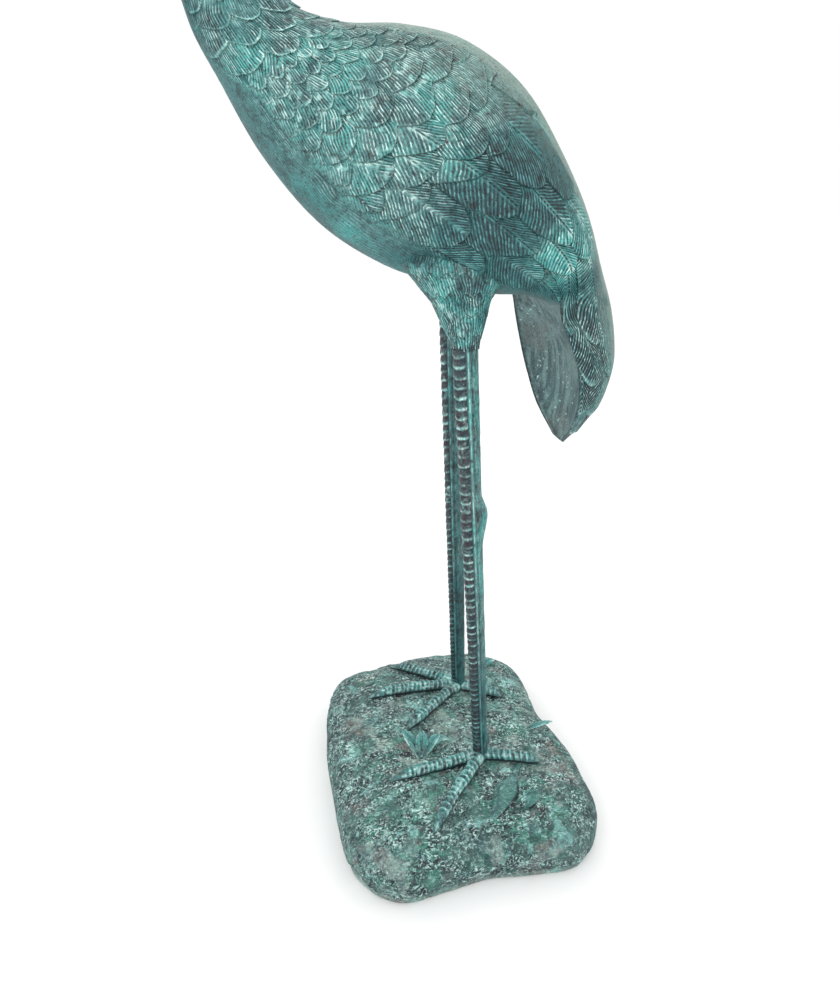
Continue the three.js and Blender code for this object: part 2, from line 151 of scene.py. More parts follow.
# Rings of the head: distance ahead of the skull's centre, height above, depth below, half width.
HEAD_RINGS = np.array([
    (-40, 6, 6, 6), (-33, 21, 18, 17), (-15, 32, 28, 25), (7, 34, 29, 27), (28, 29, 25, 23),
    (44, 18, 18, 16), (60, 14, 14, 12), (105, 11, 10, 9), (155, 8, 6, 6), (194, 5, 3, 3.5),
    (206, 2, 1, 1.5),
], float)
HEAD_GRID = (210, 96)
EYE = {"ahead": 18, "rise": 8, "side": 23, "radius": 7}
EYE_GRID = (30, 40)
# The pupil's rim, in radians from the eye's axis.
PUPIL = 0.55

LEGS = {
    "left": {"side": -1, "hem": (-52, -80), "foot": (-14, -92)},
    "right": {"side": 1, "hem": (-22, 80), "foot": (6, 92)},
}
HEM_LEVEL = 755
LEG_FOOT_HALF = 11.5
LEG_HEM_HALF = 17
LEG_NARROWNESS = 0.86
LEG_SPLAY = 15 * DEGREE
# The upright ridges, in degrees from the front.
LEG_RIDGE = 72
HOCK = {"level": 518, "above": 38, "below": 54, "bulge": 10}
LEG_SPAN = (76, 790)
LEG_GRID = (420, 64)
# The lowest scute has that share of the highest one's height.
LOWEST_SCUTE = 0.56
# Rings of the thigh: rise above the hem, half length, half width, shift ahead, shift inward.
THIGH_RINGS = np.array([
    (0, 18.2, 17.4, 0, 0), (14, 22.5, 19.8, 1, 2), (35, 30.5, 25, 2, 6), (58, 40, 31, 3, 13),
    (80, 57, 37, 3, 21), (103, 72, 40, 2, 29), (126, 60, 34, 0, 33),
], float)
THIGH_GRID = (96, 176)
THIGH_LAYERS = 6
THIGH_LAYER_HEIGHT = 24
HEM_TEETH = 13

TOE_RADIUS = 9.5
TOE_TAPER = 1.6
TOE_JOINTS = {"swell": 0.9, "count": 3.6}
# Height of a toe's axis over the rock, as a share of its radius.
TOE_BEDDING = 0.72
# Claw: share of the toe's length, and how much it narrows and comes down to its point.
CLAW = {"share": 0.17, "narrowing": 0.86, "drop": 0.72}
TOE_ROW_SPACING = 1.2
TOE_COLUMNS = 36
# Toes: leg, heading in degrees from +X towards +Y, length, share of the usual ring spacing.
TOES = [
    ("left", 186, 154, 0.9), ("left", 227, 168, 1.2), ("left", -18, 95, 1.05),
    ("right", 176, 163, 0.9), ("right", 218, 156, 1.1), ("right", 134, 143, 1.0), ("right", -34, 84, 1.0),
]

ROCK_CENTRE = np.array([-55.0, -20.0])
ROCK_RADII = np.array([
    200, 198, 228, 272, 284, 274, 266, 268, 268, 241, 210, 198,
    194, 203, 229, 266, 278, 250, 236, 254, 286, 272, 234, 213,
], float)
ROCK_HEIGHT = 90
ROCK_WAIST = 40
# Slow waves of the rock's top: height, length and phase along x and y, and a slanting wave.
ROCK_WAVES = {
    "height": 4, "x_length": 41, "x_phase": 0.8, "y_length": 37, "y_phase": 0.4, "slanting_length": 23,
    "slanting_share": 0.6,
}
# The rock's side below its widest line: share of the outline's radius, level.
ROCK_SKIRT = np.array([(1, 40), (0.995, 20), (0.975, 5), (0.95, 0)], float)
# Creases of the rock: x and y of both ends.
ROCK_CREASES = np.array([
    (-160, -272, -145, -254), (-196, -5, -179, -46), (23, -198, 43, -213), (-162, -116, -105, -120),
], float)
ROCK_GRID = 236
SKIRT_ROWS = 30
# How much closer together the rock's grid stands at its rim.
RIM_CROWDING = 0.27

# Free leaves: root and tip x, y and height above the rock, half width, arch.
LEAVES = [
    ((-106, -62, -4), (-126, -20, 24), 9, 5),
    ((-105, -62, -4), (-96, -38, 28), 10, 5),
    ((-102, -62, -4), (-72, -56, 27), 9, 5),
    ((-102, -58, -2), (-52, -46, 6), 10, 16),
    ((80, -38, -8), (121, -62, 34), 7, 3),
    ((66, 148, -6), (98, 158, 10), 9, 6),
]
# Leaves that lie on the rock: root and tip x and y, half width, height.
FLAT_LEAVES = [
    ((46, -114), (-34, -212), 21, 9),
    ((64, -164), (22, -204), 13, 7),
]
# A flat leaf starts with a stalk of that share of its width, up to where its blade grows.
STALK_SHARE = 0.35
BLADE_GROWTH = (0.25, 0.6)
LEAF_GRID = (64, 28)

# The stage, in metres: strength of the white surroundings at the horizon and overhead, lamps with
# their place, size and power, and the camera, which looks down and round towards the bird's front.
FLOOR_HALF = 60
WORLD_LIGHT = (1.0, 1.12)
LAMPS = [
    ("front_lamp", (-1.7, -2.3, 2.4), 1.8, 30),
    ("right_lamp", (2.4, -1.6, 1.8), 1.6, 6),
    ("back_lamp", (0.8, 2.4, 2.6), 1.6, 8),
]
LAMP_AIM = (-0.1, 0, 0.75)
CAMERA = {"place": (-0.378, -1.075, 1.030), "lens": 30.24, "down": 25 * DEGREE, "round": 15 * DEGREE}

# Materials made so far, by the name of the function that makes them.
FINISHES = {}


def linear(red, green, blue):
    """Colour of three 0 to 255 display values as linear light."""
    value = np.array([red, green, blue]) / 255
    return tuple(np.where(value <= 0.04045, value / 12.92, ((value + 0.055) / 1.055) ** 2.4))


INNER_TAIL_LIGHT = linear(124, 150, 150)
INNER_TAIL_DARK = linear(74, 96, 102)
INNER_TAIL_BROWN = linear(114, 116, 114)
ROCK_BLOOM = linear(170, 184, 176)
ROCK_GREEN = linear(70, 148, 126)
ROCK_BROWN = linear(110, 104, 102)
# The darkest smoke and painted shade over a patina, which multiplies its red, green and blue.
SMOKE_AND_SHADE = (0.32, 0.46, 0.5)


class CraneSizes(bpy.types.PropertyGroup):
    """Sizes of the carving that a user may change."""

    barb_spacing: FloatProperty(
        name="Barb spacing", description="Distance between carved barbs of the long feathers",
        default=0.0035, min=0.002, max=0.02, unit="LENGTH")
    stroke_spacing: FloatProperty(
        name="Stroke spacing", description="Distance between carved strokes on scales and coverts",
        default=0.0032, min=0.002, max=0.02, unit="LENGTH")
    dash_length: FloatProperty(
        name="Dash length", description="Length of one cut of the chisel along a stroke",
        default=0.011, min=0.004, max=0.05, unit="LENGTH")
    carving_depth: FloatProperty(
        name="Carving depth", description="Half the depth of a carved barb",
        default=0.00042, min=0, max=0.002, unit="LENGTH")
    scute_spacing: FloatProperty(
        name="Scute spacing", description="Height of one scute at the top of a leg",
        default=0.0136, min=0.006, max=0.03, unit="LENGTH")
    toe_ring_spacing: FloatProperty(
        name="Toe ring spacing", description="Length of one ring of a toe",
        default=0.0084, min=0.004, max=0.02, unit="LENGTH")
    rock_pitting: FloatProperty(
        name="Rock pitting", description="Depth of the pits in the rock",
        default=0.0022, min=0, max=0.006, unit="LENGTH")


class CraneColours(bpy.types.PropertyGroup):
    """Colours of the patina that a user may change."""

    teal: FloatVectorProperty(
        name="Teal", description="Ground colour of the patina on the bird",
        default=linear(97, 138, 139), size=3, min=0, max=1, subtype="COLOR")
    slate: FloatVectorProperty(
        name="Slate", description="Dark bronze in the carved lines",
        default=linear(26, 42, 50), size=3, min=0, max=1, subtype="COLOR")
    mint: FloatVectorProperty(
        name="Mint", description="Light verdigris on raised edges",
        default=linear(210, 243, 237), size=3, min=0, max=1, subtype="COLOR")
    turquoise: FloatVectorProperty(
        name="Turquoise", description="Thick verdigris in sheltered places",
        default=linear(84, 184, 177), size=3, min=0, max=1, subtype="COLOR")
    sage: FloatVectorProperty(
        name="Sage", description="Smooth grey green patina along the back",
        default=linear(136, 160, 148), size=3, min=0, max=1, subtype="COLOR")
    plum: FloatVectorProperty(
        name="Plum", description="Dark purple brown of the scutes",
        default=linear(62, 48, 58), size=3, min=0, max=1, subtype="COLOR")
    bare_bronze: FloatVectorProperty(
        name="Bare bronze", description="Pinkish brown spots where the patina is thin",
        default=linear(150, 130, 118), size=3, min=0, max=1, subtype="COLOR")


# Shapes


def smooth(low, high, value):
    """Smooth step: 0 up to low, 1 from high on."""
    share = np.clip((value - low) / (high - low), 0, 1)
    return share * share * (3 - 2 * share)


def bump_at(distance, width):
    """Bell of height 1 at distance 0."""
    return np.exp(-((distance / width) ** 2))


def catmull_rom(before, start, end, after, t):
    """Point of the uniform Catmull-Rom curve at share t of the way from start to end."""
    bend = (2 * before - 5 * start + 4 * end - after) * t * t
    return start + ((end - before) * t + bend + (3 * start - before - 3 * end + after) * t**3) / 2


def through(points, place):
    """Catmull-Rom curve through rows of points, with mirrored ends; place counts the rows."""
    ends = 2 * points[[0, -1]] - points[[1, -2]]
    padded = np.vstack([ends[:1], points, ends[1:]])
    place = np.clip(place, 0, len(points) - 1)
    first = np.minimum(place.astype(int), len(points) - 2)
    return catmull_rom(*(padded[first + k] for k in range(4)), (place - first)[..., None])


def scatter(*whole):
    """Number from 0 to 1 for each set of whole numbers, the same on each run."""
    mixed = np.zeros(np.broadcast(*whole).shape, np.uint64)
    for value, prime in zip(whole, (73856093, 19349663, 83492791, 49979687)):
        mixed ^= np.asarray(value).astype(np.int64).astype(np.uint64) * np.uint64(prime)
    mixed = (mixed ^ (mixed >> np.uint64(15))) * np.uint64(2246822519) % np.uint64(1 << 32)
    mixed = (mixed ^ (mixed >> np.uint64(13))) * np.uint64(3266489917) % np.uint64(1 << 32)
    return (mixed ^ (mixed >> np.uint64(16))) % np.uint64(65536) / 65535


def noise(points, size, seed):
    """Value noise from -1 to 1: a scattered number at each corner of a grid of that size, blended."""
    cells = points / size
    base = np.floor(cells)
    t = cells - base
    t = t * t * (3 - 2 * t)
    base = base.astype(np.int64) + 4096
    total = 0
    for corner in range(8):
        shift = np.array([corner & 1, corner >> 1 & 1, corner >> 2])
        weight = np.prod(np.where(shift, t, 1 - t), axis=-1)
        at = base + shift
        total = total + weight * scatter(at[..., 0], at[..., 1], at[..., 2], np.int64(seed))
    return 2 * total - 1


def skin(section, angle, lift=0.0):
    """Skin of the bird. A section is two half ellipses, from the back to its widest line and on to the
    front, and in the tail the second one turns back inside the first. lift goes along the normal."""
    spot = through(SECTIONS, section)
    back, front, edge, half = spot[..., 0:2], spot[..., 2:4], spot[..., 4:6], spot[..., 6]
    cos, sin = np.cos(angle), np.sin(angle)
    reach = np.where((cos >= 0)[..., None], back, front) - edge
    hollow = smooth(RIM_SECTION, RIM_SECTION + 0.6, section)
    wall = np.minimum(RIM_THICKNESS, half / 2) * hollow * smooth(0, 0.25, -cos)
    flat = reach * (np.abs(cos) / np.maximum((reach**2).sum(-1), 1))[..., None]
    normal = np.stack([flat[..., 0], sin / half, flat[..., 1]], -1)
    normal /= np.maximum(np.linalg.norm(normal, axis=-1, keepdims=True), 1e-9)
    outline = edge + reach * np.abs(cos)[..., None]
    place = np.stack([outline[..., 0], (half - wall) * sin, outline[..., 1]], -1)
    return place + normal * np.asarray(lift)[..., None]


def from_back_line(angle):
    """Degrees from the back's middle line, the same on both sides."""
    return np.abs(np.arctan2(np.sin(angle), np.cos(angle))) / DEGREE


def plumage(section, angle):
    """How much the feathers show: none on the smooth band along the back, none on the belly."""
    from_back = from_back_line(angle)
    neck = 1 - smooth(4.6, 5.4, section)
    tail = smooth(11.1, 11.6, section)
    band = 34 + 16 * smooth(7, 10, section) - 24 * neck
    belly = 125 + 30 * neck - 39 * tail
    return smooth(band - 9, band, from_back) * (1 - smooth(belly, belly + 14 - 8 * tail, from_back))


def bulge(section, angle):
    """How far a row's line lies towards the tail: a bell about the wing's middle line."""
    grown = smooth(*ROW_BULGE["growth"], section) - smooth(*ROW_BULGE["decline"], section)
    aside = (from_back_line(angle) - ROW_BULGE["middle"]) / ROW_BULGE["width"]
    return ROW_BULGE["sections"] * grown * np.exp(-aside * aside)


def feather_rows():
    """All rows of tips from the head down: tip section, feathers, offset, lip, scallop, kind."""
    rows = []
    for first, last, count, feathers, lip, reach, kind in ZONES:
        for row, at in enumerate(np.linspace(first, last, count)):
            rows.append((at, feathers, (row % 2) / 2, lip, reach, KIND_NAMES.index(kind)))
    return rows


def angle_at(turn):
    """Angle round the body at an even turn. The angles stand closer together on the sides."""
    return turn + CROWDING * np.sin(2 * turn)


def pick(table, chosen):
    """From a table with a grid for each row, the entry of the row that each point has chosen."""
    return np.take_along_axis(table, chosen[None], 0)[0]


def feather_at(section, turn):
    """The feather that shows at each section and turn, as named arrays, with the traits of its kind.

    Each row ends in a line of rounded tongues of uneven length. A point belongs to the first row whose
    tips lie beyond it. place runs across the feather, and the distances are in millimetres: along from
    its tip, across from its middle towards the belly, to its own edge and from the edge before it.
    """
    angle = angle_at(turn)
    rows = feather_rows()
    step = 0.01
    along_scale = np.linalg.norm(skin(section + step, angle) - skin(section - step, angle), axis=-1)
    along_scale = np.maximum(along_scale / (2 * step), 20)
    spots = skin(section, angle)
    section = section + (1.2 * noise(spots, 10, 16) + 0.6 * noise(spots, 4, 17)) / along_scale
    across_step = skin(section, angle_at(turn + step)) - skin(section, angle)
    across_scale = np.linalg.norm(across_step, axis=-1) / step
    tips, places, numbers = [], [], []
    for row, (at, feathers, offset, _, reach, _) in enumerate(rows):
        spot = turn / TURN * feathers + offset
        place, number = spot % 1, np.floor(spot) % feathers
        lean = TONGUE["lean"] * (scatter(np.int64(row), number, 18) - 0.5) * np.sin(np.pi * place)
        tongue = 1 - np.abs(2 * (place + lean) - 1) ** TONGUE["roundness"]
        shown = plumage(np.full_like(angle, at), angle)
        uneven = TONGUE["least"] + TONGUE["spread"] * scatter(np.int64(row), number, np.int64(8))
        tips.append(at + bulge(at, angle) + reach * uneven * tongue * shown)
        places.append(place)
        numbers.append(number)
    tips, places, numbers = np.stack(tips), np.stack(places), np.stack(numbers)
    row = (section[None] > tips).sum(0)
    beyond = row >= len(rows)
    row = np.minimum(row, len(rows) - 1)

    at, feathers, offset, lip, reach, kind = (np.array(column)[row] for column in zip(*rows))
    edge, place, number = pick(tips, row), pick(places, row), pick(numbers, row)
    start = np.where(row > 0, pick(tips, np.maximum(row - 1, 0)), 0)
    low_on_wing = from_back_line(angle_at((number + 0.5 - offset) / feathers * TURN)) > LONG_COVERTS["below"]
    long_covert = low_on_wing & (kind == KIND_NAMES.index("covert")) & (at > LONG_COVERTS["after"])
    kind = np.where(long_covert, KIND_NAMES.index("vane"), kind)
    kind = np.where(at > FINE_TAIL_ROW, KIND_NAMES.index("fine"), kind)
    traits = np.array(list(KINDS.values()), float)[kind]
    width = TURN / feathers * across_scale
    side = np.where(np.sin(turn) >= 0, 1.0, -1.0)
    return SimpleNamespace(
        angle=angle, row=row, number=number, beyond=beyond, at=at, lip=lip, side=side, place=place,
        before_edge=(edge - section) * along_scale,
        after_start=np.maximum(section - start, 0) * along_scale,
        progress=np.clip((section - start) / np.maximum(edge - start, 0.05), 0, 1),
        along=(section - at - reach - bulge(at, angle)) * along_scale,
        across=(place - 0.5) * width * side,
        width=width,
        side_edge=(0.5 - np.abs(place - 0.5)) * width,
        **dict(zip(TRAITS, np.moveaxis(traits, -1, 0))))


def body_parts(section, angle):
    """How far each point belongs to the parts of the body, from 0 to 1, and where it lies round it."""
    from_back = from_back_line(angle)
    cos = np.cos(angle)
    tail = smooth(RIM_SECTION, RIM_SECTION + 0.5, section)
    return SimpleNamespace(
        from_back=from_back,
        cos=cos,
        tail=tail,
        inner_tail=tail * smooth(0.02, 0.2, -cos),
        tail_edge=smooth(0.75, 0.3, cos) * smooth(0, 0.05, cos) * tail * smooth(14.8, 13.8, section),
        back_band=smooth(44, 30, from_back) * smooth(4.3, 5.4, section),
        chest=smooth(4.6, 5.2, section) * smooth(7.8, 6.8, section) * smooth(45, 62, from_back),
        breast=smooth(7.6, 6, section) * smooth(60, 80, from_back),
        beside_back=smooth(68, 44, from_back) * smooth(6.4, 7.6, section),
        late_wing=smooth(9.1, 9.6, section) * smooth(11, 10.4, section) * smooth(120, 100, from_back))


def feather_strokes(f, spots, sizes):
    """Phase of the strokes, count of dashes along them and distance from the shaft.

    The phase grows across the strokes, by 1 from each to the next. Vanes have barbs that leave the
    shaft at an angle on both sides, the other feathers slanting strokes that fan out a little.
    """
    wander = 0.8 * noise(spots, 30, 3) + 0.38 * noise(spots, 9, 4)
    fan = STROKE_FAN * (f.place - 0.5) * f.side + STROKE_WAVER * noise(spots, 18, 19)
    slant = (f.slant + f.spread * (scatter(f.row, f.number, 1) - 0.5) + fan) * DEGREE
    barb_angle = (BARB_ANGLE + BARB_SPREAD * (scatter(f.row, f.number, 2) - 0.5)) * DEGREE
    from_shaft = f.across - SHAFT["place"] * f.width
    barbs = (f.along - np.abs(from_shaft) / np.tan(barb_angle)) * np.sin(barb_angle) + wander
    strokes = f.across * np.cos(slant) - f.along * np.sin(slant) + wander
    vane = f.shafted > 0
    phase = np.where(vane, barbs / (1000 * sizes.barb_spacing), strokes / (1000 * sizes.stroke_spacing))
    phase = phase + PHASE_JUMP * scatter(f.row, f.number, 3)
    run = np.where(vane, np.abs(from_shaft) / np.sin(barb_angle),
                   f.along * np.cos(slant) + f.across * np.sin(slant))
    return phase, run / (1000 * sizes.dash_length), from_shaft


def stroke_strength(f, section, part, spots):
    """How boldly the strokes are cut: less at a feather's start and edge, on worn patches of the
    breast, beside the back and towards the tail's tip."""
    inside = smooth(0, 2.2, f.before_edge) * smooth(0, 2.5, f.after_start)
    worn = smooth(0.3, 0.7, noise(spots, 42, 5)) * part.breast
    strength = f.feather * (0.8 + 0.2 * noise(spots, 11, 10)) * (0.35 + 0.65 * inside) * (1 - 0.6 * worn)
    return strength * (1 - 0.5 * smooth(13, 14.6, section)) * (1 - 0.65 * part.beside_back)


def feather_lift(f, section, part, spots):
    """Relief of the plumage without its strokes: the wing's thickness, and on it a feather that rises
    from its start to its edge, falls off to its sides, tilts, and has a double shaft if it is a vane."""
    on_wing = (f.at <= LAST_WING_ROW + 0.01) & ~f.beyond
    wing = WING["thickness"] * smooth(WING["start"], WING["start"] + WING["growth"], section)
    wing = wing * on_wing * smooth(*WING["shoulder"], part.from_back) * f.shown
    own_height = 0.9 * (scatter(f.row, f.number, 4) - 0.5)
    tilt = np.where(f.shafted > 0, 1.1, 0.5) * (f.place - 0.5) * f.side
    lift = wing + f.feather * (f.lip * f.progress + own_height - 0.7 * (2 * f.place - 1) ** 2 + tilt)
    lift = lift + f.shaft - 0.8 * f.under - 0.25 * f.lip * bump_at(f.before_edge, 1.0) * f.feather
    return lift + 0.25 * noise(spots, 30, 6) + 0.12 * noise(spots, 5, 7)


def tone_and_belly_shade(section, part, spots):
    """Darkening of the body's patina: on the lower neck, the wing's middle and the tail, and painted
    shade on the belly, but not on the wing's late feathers."""
    from_back = part.from_back
    gloom = 0.3 * smooth(4.9, 4.2, section) + 0.95 * smooth(7.3, 8.3, section) * smooth(11.8, 11, section)
    gloom = gloom * smooth(30, 56, from_back) * (1 - 0.45 * smooth(100, 135, from_back))
    gloom = gloom + 0.5 * part.tail * (1 - part.inner_tail) * smooth(15, 60, from_back)
    # Painted shade on the belly, where the body turns under.
    gloom = gloom + 0.55 * smooth(120, 165, from_back) * (1 - part.tail)
    gloom = gloom + 0.08 * smooth(62, 42, from_back) * smooth(5, 6, section)
    gloom = gloom * (1 - part.late_wing)
    # More painted shade low on the sides, and tone that differs at random.
    return gloom + 0.15 * smooth(96, 116, from_back) * (1 - part.tail) + 0.16 * noise(spots, 55, 20)


def feather_wear_and_shade(f, section, part, spots):
    """Light, dark and turquoise of the plumage.

    Light lies on rims, shafts and roots, on worn spots of the chest, on the tips along the tail's
    opening and in specks inside it. Dark is a painted shadow under the row before and a painted shadow
    line in jags along the tail's opening, and lies in the gaps of feathers and shafts. Turquoise lies
    round each feather, in patches, on the belly and on the wing's late feathers.
    """
    chipped = smooth(-0.45, 0.25, noise(spots, 9, 12))
    rim = bump_at(f.before_edge - 0.9, 1.3) * f.feather
    root = bump_at(f.after_start, 7) * bump_at(f.place - 0.5, 0.2) * f.feather * (f.row > 6)
    glints = smooth(0.3, 0.6, noise(spots, 5, 13)) * smooth(0, 0.5, noise(spots, 40, 14))
    at_opening = smooth(0.55, 0.2, part.cos) * smooth(0, 0.06, part.cos) * part.tail
    tips = smooth(12, 5, f.before_edge) * at_opening * (0.3 + 0.7 * chipped) * f.feather
    light = rim * f.rim_light * (0.25 + 0.75 * chipped) + 0.95 * f.shaft * (0.35 + 0.65 * chipped)
    light = light + 0.3 * root + (0.7 * glints + 0.04) * part.chest * f.shown + 0.6 * tips
    light = light + 1.2 * smooth(0.72, 0.85, noise(spots, 4, 24)) * part.inner_tail

    side_gap = bump_at(f.side_edge, 1.3) * f.feather
    rim_shadow_jags = 0.5 + 0.5 * np.sin(40 * section + 3 * noise(spots, 12, 21))
    # Painted shadow just past the tips of the row before, which overlap this feather.
    dark = f.under_dark * f.under * (0.6 + 0.4 * chipped)
    dark = dark + 0.25 * side_gap * f.shafted + 0.85 * f.shaft_gap
    # Painted shadow line in jags along the tail's opening, where its rim shades the hollow.
    dark = dark + 0.85 * bump_at(part.cos + 0.03, 0.03 + 0.05 * rim_shadow_jags) * part.tail
    dark = dark + 0.4 * part.tail_edge * f.feather

    deposit = f.deposit * (np.exp(-f.after_start / 6) + 0.9 * bump_at(f.side_edge, 2.4)) * f.feather
    deposit = deposit * smooth(-0.6, 0.2, noise(spots, 22, 22)) * (0.6 + 0.4 * part.chest)
    patches = (0.45 + 0.35 * part.chest) * smooth(0.05, 0.55, noise(spots, 50, 9)) * f.shown
    belly = (0.2 + 0.45 * smooth(-0.1, 0.5, noise(spots, 45, 15))) * smooth(100, 130, part.from_back)
    turquoise = deposit + 0.9 * part.late_wing * f.shown + 0.6 * root + patches + belly
    turquoise = turquoise * (1 - 0.8 * part.back_band) * (1 - 0.5 * smooth(5.0, 4.4, section))
    return np.clip(np.stack([light, dark, turquoise], -1), 0, 1)


def feathered(section, turn, sizes):
    """Lift, carving, wear and zone of the plumage at sections and turns round the body.

    The strokes are raised by a sine of their phase, on the left side only, where the grid is fine
    enough for them. Where no feather shows, faint lines run along the body instead.
    """
    f = feather_at(section, turn)
    part = body_parts(section, f.angle)
    spots = skin(section, f.angle)
    f.shown = plumage(section, f.angle)
    f.feather = f.shown * ~f.beyond
    f.under = np.exp(-f.after_start / 2.4) * f.shown * (f.row > 0)
    phase, run, from_shaft = feather_strokes(f, spots, sizes)
    shaft_reach = f.shafted * f.feather * smooth(0.5, 4, f.before_edge)
    f.shaft = bump_at(np.abs(from_shaft) - SHAFT["apart"], SHAFT["width"]) * shaft_reach
    f.shaft_gap = bump_at(from_shaft, 1.0) * shaft_reach
    strength = stroke_strength(f, section, part, spots)
    depth = 1000 * sizes.carving_depth * smooth(0.2, -0.3, np.sin(turn))
    lift = feather_lift(f, section, part, spots) + depth * strength * np.sin(TURN * phase)

    plain = strength < PLAIN_BELOW
    folded = np.minimum(turn % TURN, TURN - turn % TURN)
    faint = 0.16 + 0.34 * smooth(-0.2, 0.6, noise(spots, 20, 11))
    faint = faint * (1 - 0.6 * part.back_band) * (1 - 0.7 * part.inner_tail)
    tone = tone_and_belly_shade(section, part, spots) + 0.3 * (scatter(f.row, f.number, 5) - 0.4) * f.feather
    carving = np.stack([
        np.where(plain, folded * 32 + 1.6 * noise(spots, 24, 8), phase),
        np.where(plain, faint, strength * (1 + 0.35 * part.tail_edge)),
        np.clip(tone, 0, 1),
    ], -1)
    band = (1 - smooth(28, 46 + 8 * smooth(7, 10, section), part.from_back)) * smooth(4.3, 5.6, section)
    band = band + 0.5 * smooth(80, 50, part.from_back) * smooth(4.6, 5.8, section) * (1 - band)
    plum = 0.5 * part.tail_edge * smooth(-0.2, 0.5, noise(spots, 10, 23)) * f.feather
    zone = np.stack([
        band * (1 - part.inner_tail) - part.inner_tail,
        np.where(plain, section * 8, run * (1 + 0.8 * part.tail)),
        plum,
    ], -1)
    return lift, carving, feather_wear_and_shade(f, section, part, spots), zone


def body_surface(first, last, rows, columns, sizes):
    """Grid of the body between two sections: rows along the bird, columns once round it."""
    column = np.arange(columns) * TURN / columns
    crowded = column + GRID_CROWDING * np.sin(2 * column) + LEFT_CROWDING * (1 - np.cos(column))
    section, turn = np.meshgrid(np.linspace(first, last, rows), crowded, indexing="ij")
    lift, carving, wear_and_shade, zone = feathered(section, turn, sizes)
    return skin(section, angle_at(turn), lift), carving, wear_and_shade, zone


def rock_radius(angle):
    """Radius of the rock's widest line: a closed Catmull-Rom curve through radii 15 degrees apart."""
    count = len(ROCK_RADII)
    place = (angle / TURN * count) % count
    first = np.floor(place).astype(int)
    return catmull_rom(*(ROCK_RADII[(first + k) % count] for k in (-1, 0, 1, 2)), place - first)


def rock_top(x, y):
    """Height of the rock: a flat dome that falls to its widest line, with slow waves."""
    dx, dy = x - ROCK_CENTRE[0], y - ROCK_CENTRE[1]
    share = np.minimum(1, np.hypot(dx, dy) / rock_radius(np.arctan2(dy, dx)))
    dome = np.sqrt(np.maximum(0, 1 - share**4))
    w = ROCK_WAVES
    waves = np.sin(x / w["x_length"] + w["x_phase"]) * np.cos(y / w["y_length"] + w["y_phase"])
    waves = waves + w["slanting_share"] * np.sin((x + y) / w["slanting_length"])
    return ROCK_WAIST + (ROCK_HEIGHT - ROCK_WAIST) * dome + w["height"] * waves * dome * share


def distance_to_lines(places, lines):
    """Distance on the map from each place to each line, given as x and y of both ends."""
    starts, ends = lines[:, :2, None], lines[:, 2:, None]
    flat = places[:, :2].T[None] - starts
    share = ((flat * (ends - starts)).sum(1) / ((ends - starts) ** 2).sum(1)).clip(0, 1)
    return np.linalg.norm(flat - (ends - starts) * share[:, None], axis=1)


def toe_lines():
    """Middle lines of all toes on the map, as x and y of both ends."""
    ends = []
    for name, heading, length, _ in TOES:
        x, y = LEGS[name]["foot"]
        ends.append((x, y, x + length * np.cos(heading * DEGREE), y + length * np.sin(heading * DEGREE)))
    return np.array(ends)


def finish_arrays(shape, phase=0.0, strength=0.0, tone=0.0, light=0.0, dark=0.0, turquoise=0.0,
                  area=0.0, run=0.0, plum=0.0):
    """The three finish attributes of a piece, each number filled out to the grid's shape. area is 1 on
    the smooth back and -1 inside the tail, and run counts the dashes along a stroke."""
    def fill(*values):
        return np.stack([np.broadcast_to(value, shape) for value in values], -1).astype(float)

    return (fill(phase, strength, tone), np.clip(fill(light, dark, turquoise), 0, 1),
            fill(area, run, plum))


def tube_grid(along, columns):
    """Grid of the values along a tube and of the angles once round it."""
    return np.meshgrid(along, np.arange(columns) * TURN / columns, indexing="ij")


def leg_centre(leg, level):
    """Middle of a leg at a level, on the straight line from the foot to the hem."""
    rise = ((level - ROCK_HEIGHT) / (HEM_LEVEL - ROCK_HEIGHT))[..., None]
    return np.array(leg["foot"]) + (np.array(leg["hem"]) - np.array(leg["foot"])) * rise


def leg_columns():
    """Angles of a leg's grid, five times closer together at the two upright ridges."""
    degrees = np.linspace(0, 360, 721)
    crowd = 1 + 4 * (bump_at(degrees - LEG_RIDGE, 7) + bump_at(degrees - 360 + LEG_RIDGE, 7))
    shares = np.cumsum(crowd) - crowd[0]
    return np.interp(np.arange(LEG_GRID[1]) / LEG_GRID[1], shares / shares[-1], degrees) * DEGREE


